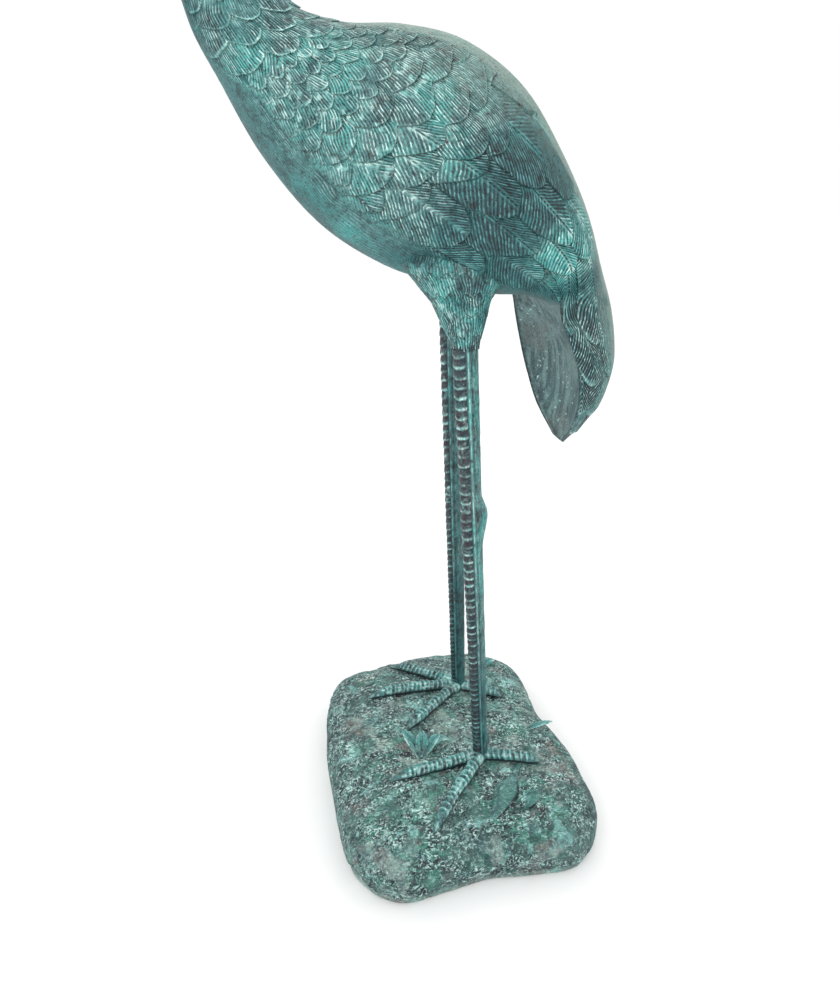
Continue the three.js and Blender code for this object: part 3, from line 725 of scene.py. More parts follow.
def leg_surface(leg, sizes):
    """Leg as an oval carried up its line and turned a little outwards. Scutes are half rings on the
    front, raised at their lower edge and taller towards the hock, between two upright ridges, and the
    back swells at the hock."""
    levels = np.linspace(*LEG_SPAN, LEG_GRID[0])
    level, angle = np.meshgrid(levels, leg_columns(), indexing="ij")
    cos, sin = np.cos(angle), np.sin(angle)
    centre = leg_centre(leg, level)
    rise = np.clip((level - ROCK_HEIGHT) / (HEM_LEVEL - ROCK_HEIGHT), 0, 1)
    half = LEG_FOOT_HALF + (LEG_HEM_HALF - LEG_FOOT_HALF) * rise
    signed = np.where(angle > np.pi, angle - TURN, angle) / DEGREE
    from_front = np.abs(signed)
    above = smooth(HOCK["level"] + HOCK["above"], HOCK["level"], level)
    below = smooth(HOCK["level"] - HOCK["below"], HOCK["level"], level)
    hock = HOCK["bulge"] * np.where(level > HOCK["level"], above, below)
    ankle = 2.4 * smooth(112, 92, level)

    spots = np.stack([centre[..., 0] - half * cos, centre[..., 1] + half * sin, level], -1)
    below_hock = np.clip((levels - ROCK_HEIGHT) / (HOCK["level"] - ROCK_HEIGHT), 0, 1)
    scute_height = 1000 * sizes.scute_spacing * (LOWEST_SCUTE + (1 - LOWEST_SCUTE) * below_hock)
    counts = np.cumsum(np.gradient(levels) / scute_height)
    sag = 3.6 * (signed / 60) ** 2
    place = np.interp(level - sag + 1.4 * noise(spots, 24, 21), levels, counts)
    within = place % 1
    on_front = smooth(LEG_RIDGE - 9, LEG_RIDGE - 15, from_front)
    scute = (1 - within) ** 0.6 * smooth(0, 0.12, within)
    ridge = bump_at(from_front - LEG_RIDGE, 5.5)
    groove = bump_at(from_front - LEG_RIDGE + 11, 4)
    swell = hock * smooth(120, 180, from_front) + ankle
    swell = swell + on_front * (1.7 * scute - 0.6) + 1.8 * ridge - 0.9 * groove
    swell = swell + 0.35 * noise(spots, 18, 23) + 0.18 * noise(spots, 5, 24)
    turn = -leg["side"] * LEG_SPLAY
    ahead, aside = (half + swell) * cos, (half * LEG_NARROWNESS + swell) * sin
    points = np.stack([
        centre[..., 0] - ahead * np.cos(turn) - aside * np.sin(turn),
        centre[..., 1] + aside * np.cos(turn) - ahead * np.sin(turn),
        level], -1)

    own = scatter(np.floor(place), np.int64(30 + leg["side"]))
    chipped = smooth(-0.45, 0.25, noise(spots, 6, 25))
    mottle = smooth(0.15, 0.5, noise(spots, 4.5, 30)) * smooth(-0.3, 0.3, noise(spots, 30, 31))
    blacks = smooth(0.0, 0.5, noise(spots, 8, 35))
    smudges = smooth(0.1, 0.6, noise(spots * [1, 1, 0.35], 9, 32))
    hock_smudges = smooth(4, 9, hock) * smooth(0.0, 0.5, noise(spots, 12, 33))
    side = smooth(LEG_RIDGE + 2, LEG_RIDGE + 14, from_front)
    facing = smooth(20, 60, -leg["side"] * signed)
    arc = bump_at(within - 0.17 - 0.1 * noise(spots, 6, 34), 0.09 + 0.06 * own)
    light = on_front * ((0.6 + 0.9 * own) * arc * (0.15 + 0.85 * chipped) + 0.4 * mottle * (1 - own))
    light = light + 0.7 * bump_at(from_front - LEG_RIDGE, 2.4) * (0.05 + 0.95 * chipped)
    dark = on_front * (0.6 + 0.9 * bump_at(within - 1, 0.18) + 0.5 * blacks) * (1 - 0.9 * arc)
    dark = dark + 0.9 * groove + side * (0.45 * smudges + 0.7 * bump_at(from_front - LEG_RIDGE - 15, 4))
    dark = dark + 0.6 * hock_smudges * side
    plum = on_front * (0.95 - 0.5 * smooth(-0.1, 0.6, noise(spots, 20, 26)))
    plum = plum * (0.5 + 0.5 * smooth(140, 400, level))
    plum = plum + 0.35 * side * smooth(0.2, 0.6, noise(spots, 35, 36))
    tone = 0.12 + 0.2 * noise(spots, 40, 28) + 0.6 * smooth(400, 200, level) + 0.5 * facing
    deposit = 0.45 + 0.5 * smooth(-0.3, 0.5, noise(spots, 50, 29))
    turquoise = 0.6 * ridge * chipped + side * (1 - 0.6 * facing) * deposit
    finish = finish_arrays(
        level.shape, phase=signed * 0.16 + noise(spots, 20, 27), strength=0.5 * side, tone=tone,
        light=light, dark=dark, turquoise=turquoise, run=level / 17, plum=plum)
    return points, *finish


def thigh_surface(leg, sizes):
    """Thigh as ovals carried up from a toothed hem, in layers whose pointed tufts hang over the layer
    below. Each layer has its own count of upright strokes, so that they stay as fine up the thigh."""
    place, angle = tube_grid(np.linspace(0, len(THIGH_RINGS) - 1, THIGH_GRID[0]), THIGH_GRID[1])
    cos, sin = np.cos(angle), np.sin(angle)
    rise, long, wide, ahead, inward = (through(THIGH_RINGS, place)[..., k] for k in range(5))
    spots = np.stack([leg["hem"][0] + long * cos, leg["hem"][1] + wide * sin, HEM_LEVEL + rise], -1)
    layers = np.arange(THIGH_LAYERS)
    tufts = (11 + 2 * layers)[:, None, None]
    spot = angle / TURN * tufts + 0.5 * (layers % 2)[:, None, None]
    tongue = 1 - np.abs(2 * (spot % 1) - 1) ** 1.3
    drop = (5 + 10 * scatter(layers[:, None, None], np.floor(spot) % tufts, np.int64(3))) * tongue
    edges = THIGH_LAYER_HEIGHT * layers[:, None, None] - drop
    edges[0] = -10
    layer = (rise[None] > edges).sum(0) - 1
    over_edge = rise - pick(edges, layer)
    to_next = pick(np.concatenate([edges[1:], edges[-1:] + 60]), layer) - rise
    girths = np.pi * np.interp(
        THIGH_LAYER_HEIGHT * (layers + 0.5), THIGH_RINGS[:, 0], THIGH_RINGS[:, 1] + THIGH_RINGS[:, 2])
    strokes = np.round(girths / (1080 * sizes.stroke_spacing))[layer]
    wander = 0.9 * noise(spots * [1, 1, 0.7], 24, 31) + 0.5 * noise(spots, 8, 32)
    fade = 1 - smooth(70, 112, rise)
    relief = 1.1 * np.exp(-over_edge / 16) * fade + 0.4 * noise(spots, 16, 34) - 0.9
    hem_teeth = np.abs(((angle / TURN * HEM_TEETH) % 1) - 0.5) * 4
    hem = (2.5 * hem_teeth - 4) * (1 - smooth(0, 10, rise))
    points = np.stack([
        leg["hem"][0] - ahead + (long + relief) * cos,
        leg["hem"][1] - leg["side"] * inward + (wide + relief) * sin,
        HEM_LEVEL + rise - hem], -1)

    glints = smooth(0.25, 0.6, noise(spots * [1, 1, 0.5], 5, 36)) * smooth(-0.1, 0.4, noise(spots, 25, 37))
    # Painted shadow just below where a tuft of the layer above hangs over.
    tuft_shadow = 0.45 * bump_at(to_next, 2.2) * fade * smooth(-0.4, 0.3, noise(spots, 12, 40))
    finish = finish_arrays(
        rise.shape, phase=angle / TURN * strokes + wander + 9.3 * scatter(layer, np.int64(5)),
        strength=(0.8 + 0.2 * noise(spots, 12, 33)) * (0.6 + 0.4 * fade),
        tone=0.5 + 0.4 * noise(spots, 16, 38), run=(rise + 9 * noise(spots, 9, 39)) / 7,
        plum=0.65 * smooth(-0.2, 0.5, noise(spots, 14, 50)),
        light=0.2 * bump_at(over_edge - 1.5, 1.5) * fade + 0.7 * glints,
        dark=tuft_shadow + 0.6 * (1 - smooth(0, 8, rise)),
        turquoise=0.75 * smooth(-0.2, 0.4, noise(spots, 20, 35)) + 0.1)
    return points, *finish


def toe_surface(leg, heading, length, ring_share, sizes):
    """Toe as a tapering tube on the rock with swelling joints, a bead for each ring, which arches back
    on top, and a smooth claw at its end."""
    share, angle = tube_grid(np.linspace(0, 1, int(length / TOE_ROW_SPACING)), TOE_COLUMNS)
    cos, sin = np.cos(angle), np.sin(angle)
    ahead = np.array([np.cos(heading * DEGREE), np.sin(heading * DEGREE)])
    x = leg["foot"][0] + ahead[0] * length * share
    y = leg["foot"][1] + ahead[1] * length * share
    claw = np.clip((share - 1 + CLAW["share"]) / CLAW["share"], 0, 1)
    joint = TOE_JOINTS["swell"] * np.abs(np.sin(share * np.pi * TOE_JOINTS["count"]))
    radius = (TOE_RADIUS - TOE_TAPER * share + joint) * (1 - CLAW["narrowing"] * claw)
    height = rock_top(x, y) + TOE_RADIUS * TOE_BEDDING * (1 - CLAW["drop"] * claw)
    spacing = 1000 * sizes.toe_ring_spacing * ring_share
    within = (share * length + 2.4 * np.maximum(sin, -0.2)) / spacing % 1
    on_rings = smooth(1.01 - CLAW["share"], 0.98 - CLAW["share"], share)
    spots = np.stack([x, y, height], -1) + np.stack([angle * 0, radius * cos, radius * sin], -1)
    bead = 0.5 * (np.sin(np.pi * within) ** 0.7 - 0.6) * on_rings
    radius = radius + bead + 0.45 * noise(spots, 8, 41) + 0.25 * noise(spots, 3, 42)
    points = np.stack([x - ahead[1] * radius * cos, y + ahead[0] * radius * cos, height + radius * sin], -1)

    on_top = smooth(0, 0.45, sin)
    chipped = smooth(-0.5, 0.2, noise(spots, 8, 43))
    patch = smooth(-0.1, 0.5, noise(spots, 32, 46))
    specks = smooth(0.0, 0.4, noise(spots, 4, 45)) * (0.5 + 0.5 * patch) * on_top
    arc = bump_at(within - 0.4 - 0.1 * noise(spots, 6, 48), 0.11)
    gap = bump_at(within, 0.14) + bump_at(within - 1, 0.14)
    light = on_rings * on_top * arc * (0.4 + 0.6 * chipped) * (0.9 + 1.2 * patch) + 0.8 * specks
    light = light + 0.7 * smooth(0.2, 0.08, share) * smooth(-0.2, 0.4, noise(spots, 9, 47))
    dark = on_rings * (0.35 + 0.35 * gap) * (1 - arc) + 0.35 * smooth(0, 0.3, claw)
    # Painted shadow on the toe's underside, where it lies on the rock.
    dark = dark + 0.95 * smooth(0.1, -0.3, sin) + 0.5 * smooth(0.15, 0.5, noise(spots, 6, 49))
    finish = finish_arrays(
        share.shape, phase=angle * 3, strength=0.1, tone=0.22 + 0.3 * noise(spots, 30, 44), light=light,
        dark=dark, turquoise=(0.3 + 0.5 * patch) * (0.4 + 0.6 * on_rings))
    return points, *finish


def head_surface():
    """Head as rings along its axis: ovals with their own height above and below, a groove for the
    gape, slits for the nostrils and rings for the eyelids."""
    place, angle = tube_grid(np.linspace(0, len(HEAD_RINGS) - 1, HEAD_GRID[0]), HEAD_GRID[1])
    ring = through(HEAD_RINGS, place)
    ahead, above, below, half = ring[..., 0], *(np.maximum(ring[..., k], 0.8) for k in (1, 2, 3))
    cos, sin = np.cos(angle), np.sin(angle)
    tall = np.where(cos > 0, above, below)
    rise = tall * cos
    spots = np.stack([ahead, half * sin, rise], -1)
    beak = smooth(38, 56, ahead)
    down_side = np.abs(angle - np.pi) / DEGREE
    gape = bump_at(down_side - 82, 5) * smooth(36, 52, ahead) * (1 - smooth(190, 203, ahead))
    nostril = bump_at((down_side - 122) / 9, 1) * smooth(62, 68, ahead) * smooth(92, 84, ahead)
    to_eye = np.hypot(ahead - EYE["ahead"], rise - EYE["rise"])
    lid = bump_at(to_eye - EYE["radius"] - 1.5, 1.6) * (np.abs(sin) > 0.3)
    fluff = (1 - beak) * (np.abs(noise(spots * [0.35, 1, 1], 4.0, 52)) - 0.3)
    relief = (0.8 * lid - 0.9 * gape - 0.7 * nostril + 0.5 * fluff - 0.4) * np.clip(half / 8, 0.2, 1)
    local = np.stack([-ahead, (half + relief) * sin, (tall + relief) * cos], -1)
    finish = finish_arrays(
        place.shape, phase=(rise * 0.8 + 0.15 * ahead) / 3.2 + 1.3 * noise(spots, 14, 53),
        strength=0.3 * (1 - beak) + 0.12, tone=0.25 + 0.2 * noise(spots, 25, 54),
        light=0.4 * lid, dark=0.9 * gape + 0.9 * nostril, area=0.35 * beak, run=ahead / 11,
        turquoise=0.35 * smooth(0, 0.7, noise(spots, 30, 55)))
    return pitched(local), *finish


def pitched(local):
    """Points of the head's own frame, turned up by the head's pitch and put in place."""
    x, y, z = local[..., 0], local[..., 1], local[..., 2]
    cos, sin = np.cos(HEAD_PITCH), np.sin(HEAD_PITCH)
    return np.stack([x * cos + z * sin, y, z * cos - x * sin], -1) + HEAD_CENTRE


def eye_surface(side):
    """Eye as a ball with a shallow ring cut round its pupil."""
    tilt, angle = tube_grid(np.linspace(0.02, np.pi - 0.02, EYE_GRID[0]), EYE_GRID[1])
    radius = EYE["radius"] * (1 - 0.05 * bump_at(tilt - PUPIL, 0.08))
    local = np.stack([
        radius * np.sin(tilt) * np.cos(angle) - EYE["ahead"],
        side * (radius * np.cos(tilt) + EYE["side"] - 1),
        radius * np.sin(tilt) * np.sin(angle) + EYE["rise"]], -1)
    finish = finish_arrays(
        tilt.shape, dark=0.9 * smooth(PUPIL, PUPIL - 0.1, tilt) + 0.3,
        light=0.4 * bump_at(tilt - 0.7, 0.1))
    return pitched(local), *finish


def disk_grid(side):
    """Square grid of that many cells, bent onto a disk: a point's share of the radius is its larger
    coordinate, drawn closer together at the rim, and its angle goes evenly round the square."""
    u, v = np.meshgrid(np.linspace(-1, 1, side + 1), np.linspace(-1, 1, side + 1), indexing="xy")
    larger = np.maximum(np.abs(u), np.abs(v))
    wide = np.abs(u) >= np.abs(v)
    ratio = np.where(wide, v / np.where(u == 0, 1, u), u / np.where(v == 0, 1, v))
    angle = np.where(wide, ratio, 2 - ratio) * np.pi / 4
    angle = angle + np.pi * np.where(wide, u < 0, v < 0)
    return larger + RIM_CROWDING * (larger - larger**3), angle


def rim_of(ids):
    """Numbers of a square grid's rim, in order round it."""
    return np.concatenate([ids[0, :-1], ids[:-1, -1], ids[-1, :0:-1], ids[:0:-1, 0]])


def normals_of(places, quads):
    """Unit normal at each point: the sum of the normals of its faces."""
    across = places[quads[:, 2]] - places[quads[:, 0]]
    along = places[quads[:, 3]] - places[quads[:, 1]]
    faces = np.repeat(np.cross(across, along), 4, axis=0)
    total = np.stack([
        np.bincount(quads.ravel(), faces[:, k], len(places)) for k in range(3)], -1)
    return total / np.maximum(np.linalg.norm(total, axis=1, keepdims=True), 1e-9)


def rock_grid():
    """Smooth rock: points, faces, each point's share of the radius, and the numbers of its lowest
    loop. The top is a square grid bent onto the outline, and loops carry its rim down the side."""
    share, angle = disk_grid(ROCK_GRID)
    radius = share * rock_radius(angle)
    x = ROCK_CENTRE[0] + radius * np.cos(angle)
    y = ROCK_CENTRE[1] + radius * np.sin(angle)
    top = np.stack([x, y, rock_top(x, y)], -1)
    ids = np.arange(share.size).reshape(share.shape)
    rim = rim_of(ids)
    skirt = through(ROCK_SKIRT, np.linspace(0, len(ROCK_SKIRT) - 1, SKIRT_ROWS + 1)[1:])
    rim_angle = angle.ravel()[rim]
    rim_radius = rock_radius(rim_angle)[None] * skirt[:, :1]
    sides = np.stack([
        ROCK_CENTRE[0] + rim_radius * np.cos(rim_angle),
        ROCK_CENTRE[1] + rim_radius * np.sin(rim_angle),
        np.broadcast_to(skirt[:, 1:], rim_radius.shape)], -1)
    loops = np.concatenate([rim[None], share.size + np.arange(rim_radius.size).reshape(SKIRT_ROWS, -1)])
    beside = np.roll(loops, -1, axis=1)
    quads = np.concatenate([
        np.stack([ids[:-1, :-1], ids[:-1, 1:], ids[1:, 1:], ids[1:, :-1]], -1).reshape(-1, 4),
        np.stack([loops[1:], beside[1:], beside[:-1], loops[:-1]], -1).reshape(-1, 4)])
    places = np.concatenate([top.reshape(-1, 3), sides.reshape(-1, 3)])
    shares = np.concatenate([share.ravel(), np.ones(rim_radius.size)])
    return places, quads, shares, loops[-1]


def rock_relief(places, outline, sizes):
    """Relief, light and dark of the rock: broad dents, ridges where a warped noise is near 0, pits
    where another is high, and creases, all calmer under the flat leaves. At the outline the relief
    only goes inwards, because the rock may not be wider than its model."""
    warp = np.stack([noise(places, 14, 60 + k) for k in range(3)], -1) * 7
    ridges = 1 - 2.4 * np.abs(noise(places + warp, 10, 66))
    fine = 1 - 2.4 * np.abs(noise(places + warp, 5, 67))
    pits = smooth(0.2, 0.75, noise(places, 7, 68))
    to_crease = distance_to_lines(places, ROCK_CREASES) + 1.5 * noise(places, 9, 74)
    crease = bump_at(to_crease, 3.5).max(0)
    leaf_lines = np.array([start + end for start, end, _, _ in FLAT_LEAVES], float)
    under_leaf = bump_at(distance_to_lines(places, leaf_lines), 24).max(0)
    calm = (0.45 + 0.55 * smooth(-0.4, 0.3, noise(places, 70, 69))) * (1 - 0.6 * under_leaf)
    broad = (2.6 * noise(places, 55, 64) + 2.0 * noise(places, 24, 65)) * (1 - under_leaf)
    depth = 1000 * sizes.rock_pitting
    relief = broad + depth * (calm * (0.4 * ridges + 0.25 * fine - 0.55 * pits) - 0.35) - 3 * crease
    relief = relief - outline * (1.5 + 0.75 * np.maximum(relief, 0) - 0.5 * np.minimum(relief, 0))
    relief = np.minimum(relief, 6 * (1 - outline) - 1)
    light = smooth(0.45, 0.95, fine) * calm * 0.55
    # The dark in the creases is painted shade.
    dark = smooth(0.1, -0.7, ridges) * 0.35 + 0.75 * pits * calm + 0.9 * crease
    return relief, light, dark


def rock_surface(sizes):
    """Rock: the smooth one with relief along its normals, closed by one flat fan beneath, darker along
    its rim, partly wear and partly painted shade of its sides, and with a painted shadow where the toes
    touch it."""
    places, quads, shares, lowest = rock_grid()
    outline = smooth(0.8, 1, shares)
    # Painted shadow on the rock round each toe.
    toe_contact_shadow = smooth(TOE_RADIUS + 4, TOE_RADIUS, distance_to_lines(places, toe_lines()).min(0))
    relief, light, dark = rock_relief(places, outline, sizes)
    off_ground = smooth(0, 7, places[:, 2])
    places = places + normals_of(places, quads) * (relief * off_ground)[:, None]
    # Dark along the rim, partly wear and partly painted shade of the sides, and the painted shadow round the
    # toes.
    dark = dark + 0.3 * outline * smooth(15, 35, places[:, 2]) + 1.2 * toe_contact_shadow
    fans = np.stack([np.roll(lowest, -1), lowest, np.full(len(lowest), len(places))], -1)
    places = np.concatenate([places, [[*ROCK_CENTRE, 0]]])
    light, dark = np.append(light, 0), np.append(dark, 0)
    return places, quads, fans, finish_arrays(light.shape, light=light, dark=dark)


def leaf_surface(start, end, half, rise=0, flat_height=0):
    """Leaf along a line from root to tip: a thin lens whose width follows part of a half wave, with a
    sunken midrib and slanting veins. One with a flat height has a stalk and lies on the rock."""
    share, angle = tube_grid(np.linspace(0, 1, LEAF_GRID[0]), LEAF_GRID[1])
    cos, sin = np.cos(angle), np.sin(angle)
    root, tip = np.array(start[:2], float), np.array(end[:2], float)
    length = np.linalg.norm(tip - root)
    heading = (tip - root) / length
    blade = smooth(*BLADE_GROWTH, share) if flat_height else 1
    width = half * (STALK_SHARE + (1 - STALK_SHARE) * blade)
    width = np.maximum(1, width * np.sin(np.pi * (0.12 + 0.86 * share)) ** 0.8)
    width = width * (1 - smooth(0.97, 1, share) * 0.5)
    side = width * np.sign(cos) * np.abs(cos) ** 0.8
    x = root[0] + (tip[0] - root[0]) * share - heading[1] * side
    y = root[1] + (tip[1] - root[1]) * share + heading[0] * side
    vein = np.sin(TURN * (share * length - 0.8 * np.abs(side)) / 6)
    if flat_height:
        dome = np.sqrt(np.maximum(0, 1 - (side / width) ** 2))
        thick = flat_height * (0.4 + 0.6 * width / half) * dome
        up = np.where(sin > 0, thick - 0.9 * bump_at(side, 1.6) + 0.5 * vein * dome, 0)
        z = rock_top(x, y) - 2.5 + up
    else:
        low, high = (rock_top(*place[:2]) + place[2] for place in (start, end))
        up = (1 + 0.28 * width) * sin * 0.8 + np.where(sin > 0, -0.7 * bump_at(side, 1.3) + 0.25 * vein, 0)
        arch = rise * np.sin(np.pi * share) + 0.04 * side**2 / half
        z = low + (high - low) * share + arch + up
    spots = np.stack([x, y, z], -1)
    if flat_height:
        light = 0.3 * smooth(0.2, 0.6, noise(spots, 7, 73))
        # Painted shade along one edge of the leaf, where it stands up from the rock, and dark along its
        # midrib.
        dark = 1.2 * smooth(0.62, 0.85, cos) + 0.15 * bump_at(side, 1.4)
    else:
        chipped = smooth(-0.4, 0.3, noise(spots, 7, 72))
        light = chipped * (0.8 * bump_at(np.abs(cos) - 0.95, 0.12) + 0.55 * smooth(0.4, 0.9, share))
        # Painted shade on the leaf's underside and towards its root, and dark along its midrib.
        dark = 0.6 * bump_at(side, 1.2) + 0.9 * (sin < -0.2) + 0.5 * smooth(0.45, 0.1, share)
    finish = finish_arrays(
        share.shape, phase=side / 2.4 + 0.4 * noise(spots, 8, 75), strength=0 if flat_height else 0.4,
        run=share * 3, light=light, dark=dark, turquoise=0.7 + 0.3 * noise(spots, 12, 71))
    return spots, *finish


# Meshes


def tube_faces(rows, columns):
    """Quads of a grid closed round its columns, and the fans from its end rings to two more points."""
    ids = np.arange(rows * columns).reshape(rows, columns)
    beside = np.roll(ids, -1, axis=1)
    quads = np.stack([ids[:-1], beside[:-1], beside[1:], ids[1:]], -1).reshape(-1, 4)
    first, last = rows * columns, rows * columns + 1
    fans = np.concatenate([
        np.stack([beside[0], ids[0], np.full(columns, first)], -1),
        np.stack([ids[-1], beside[-1], np.full(columns, last)], -1)])
    return quads, fans


def make_piece(name, places, quads, fans, finish, material, node):
    """Puts a piece of the casting into the scene, from points in millimetres and faces. If the faces
    enclose a negative volume, they are turned round. The edges where a fan meets the grid stay sharp."""
    corners = places[np.concatenate([quads[:, :3], quads[:, [0, 2, 3]], fans])]
    volume = np.einsum("ij,ij->", corners[:, 0], np.cross(corners[:, 1], corners[:, 2]))
    if volume < 0:
        quads, fans = quads[:, ::-1], fans[:, ::-1]
    mesh = bpy.data.meshes.new(name)
    mesh.vertices.add(len(places))
    mesh.vertices.foreach_set("co", (places / 1000).astype(np.float32).ravel())
    mesh.loops.add(quads.size + fans.size)
    loops = np.concatenate([quads.ravel(), fans.ravel()])
    mesh.loops.foreach_set("vertex_index", loops.astype(np.int32))
    mesh.polygons.add(len(quads) + len(fans))
    starts = np.concatenate([np.arange(len(quads)) * 4, quads.size + np.arange(len(fans)) * 3])
    mesh.polygons.foreach_set("loop_start", starts.astype(np.int32))
    mesh.update(calc_edges=True)
    mesh.polygons.foreach_set("use_smooth", np.ones(len(quads) + len(fans), bool))
    edges = np.empty(2 * len(mesh.edges), np.int32)
    mesh.edges.foreach_get("vertices", edges)
    ends = np.sort(edges.reshape(-1, 2), axis=1)
    fan_edges = np.sort(np.concatenate([fans[:, :2], fans[:, 1:], fans[:, ::2]]), axis=1)
    poles = np.setdiff1d(fans, quads)
    fan_edges = fan_edges[~np.isin(fan_edges, poles).any(1)]
    keys = ends[:, 0].astype(np.int64) * len(places) + ends[:, 1]
    at_end = np.isin(keys, fan_edges[:, 0].astype(np.int64) * len(places) + fan_edges[:, 1])
    mesh.attributes.new("sharp_edge", "BOOLEAN", "EDGE").data.foreach_set("value", at_end)
    # Light, dark and turquoise go to the wear attribute; its dark holds painted shadows as well as dark
    # patina.
    for label, values in zip(("carving", "wear_and_shade", "zone"), finish):
        attribute = mesh.attributes.new(label, "FLOAT_VECTOR", "POINT")
        attribute.data.foreach_set("vector", values.astype(np.float32).ravel())
    if mesh.validate():
        raise RuntimeError(f"{name}: its mesh had faces that don't hold")
    mesh.materials.append(material)
    piece = bpy.data.objects.new(name, mesh)
    bpy.context.scene.collection.objects.link(piece)
    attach(piece, "root")
    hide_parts(node)


def make_tube(name, surface, material, node):
    """Puts a piece into the scene from a grid that is closed round its columns: points, carving, wear
    and zone. The middle of each end ring is one point more."""
    quads, fans = tube_faces(*surface[0].shape[:2])
    flat = [np.concatenate([grid.reshape(-1, 3), grid[[0, -1]].mean(1)]) for grid in surface]
    make_piece(name, flat[0], quads, fans, flat[1:], material, node)


# Materials


def blended(*parts):
    """Sum of colours, each given with its share."""
    return tuple(sum(share * np.array(colour) for share, colour in parts))


class Shader:
    """Shader nodes of one material. A value is a number, a colour or another node's output."""

    def __init__(self, name):
        self.material = bpy.data.materials.new(name)
        self.material.use_nodes = True
        self.tree = self.material.node_tree
        self.tree.nodes.clear()
        self.place = self.add("TexCoord", {}, output="Object")

    def put(self, socket, value):
        if isinstance(value, bpy.types.NodeSocket):
            self.tree.links.new(value, socket)
        elif socket.type == "RGBA":
            socket.default_value = (*value, 1)
        else:
            socket.default_value = value

    def add(self, kind, inputs, output=0, **settings):
        node = self.tree.nodes.new("ShaderNode" + kind)
        for key, setting in settings.items():
            setattr(node, key, setting)
        for key, value in inputs.items():
            self.put(node.inputs[key], value)
        return node.outputs[output] if len(node.outputs) else None

    def maths(self, operation, first, *others, clamp=False):
        """A function of one value, or values joined from left to right by an operation."""
        for other in others or [0.0]:
            first = self.add("Math", {0: first, 1: other}, operation=operation, use_clamp=clamp)
        return first

    def plus(self, *values):
        return self.maths("ADD", *values)

    def times(self, *values):
        return self.maths("MULTIPLY", *values)

    def gathered(self, *shares):
        """Sum of shares, never above 1."""
        return self.maths("ADD", *shares, clamp=True)

    def ramp(self, value, low, high, start=0.0, end=1.0):
        """Smooth step from start, up to low, to end, from high on."""
        inputs = {"Value": value, "From Min": low, "From Max": high, "To Min": start, "To Max": end}
        return self.add("MapRange", inputs, interpolation_type="SMOOTHSTEP")

    def mix(self, share, first, second, blend="MIX"):
        """Mix of two colours, which the node takes in its sockets 6 and 7 and gives in socket 2."""
        inputs = {0: share, 6: first, 7: second}
        return self.add("Mix", inputs, output=2, data_type="RGBA", blend_type=blend)

    def mapped(self, **mapping):
        return self.add("Mapping", {"Vector": self.place, **mapping})

    def shifted(self, *offset):
        return self.mapped(Location=offset)

    def noise(self, at, scale, detail=2.0, roughness=0.5, distortion=0.0):
        inputs = {"Vector": at, "Scale": scale, "Detail": detail, "Roughness": roughness,
                  "Distortion": distortion}
        return self.add("TexNoise", inputs)

    def scatter(self, first, second):
        """Number from 0 to 1 for each pair of whole numbers."""
        cell = self.add("CombineXYZ", {0: first, 1: second})
        return self.add("TexWhiteNoise", {"Vector": cell}, noise_dimensions="3D")

    def parts(self, vector):
        node = self.tree.nodes.new("ShaderNodeSeparateXYZ")
        self.put(node.inputs[0], vector)
        return tuple(node.outputs)

    def attribute(self, label):
        return self.parts(self.add("Attribute", {}, output="Vector", attribute_name=label))

    def bump(self, strength, distance, height):
        return self.add("Bump", {"Strength": strength, "Distance": distance, "Height": height})

    def finish(self, colour, roughness, normal, metallic):
        inputs = {"Base Color": colour, "Roughness": roughness, "Metallic": metallic, "Normal": normal}
        surface = self.add("BsdfPrincipled", inputs)
        self.add("OutputMaterial", {"Surface": surface})
        return self.material


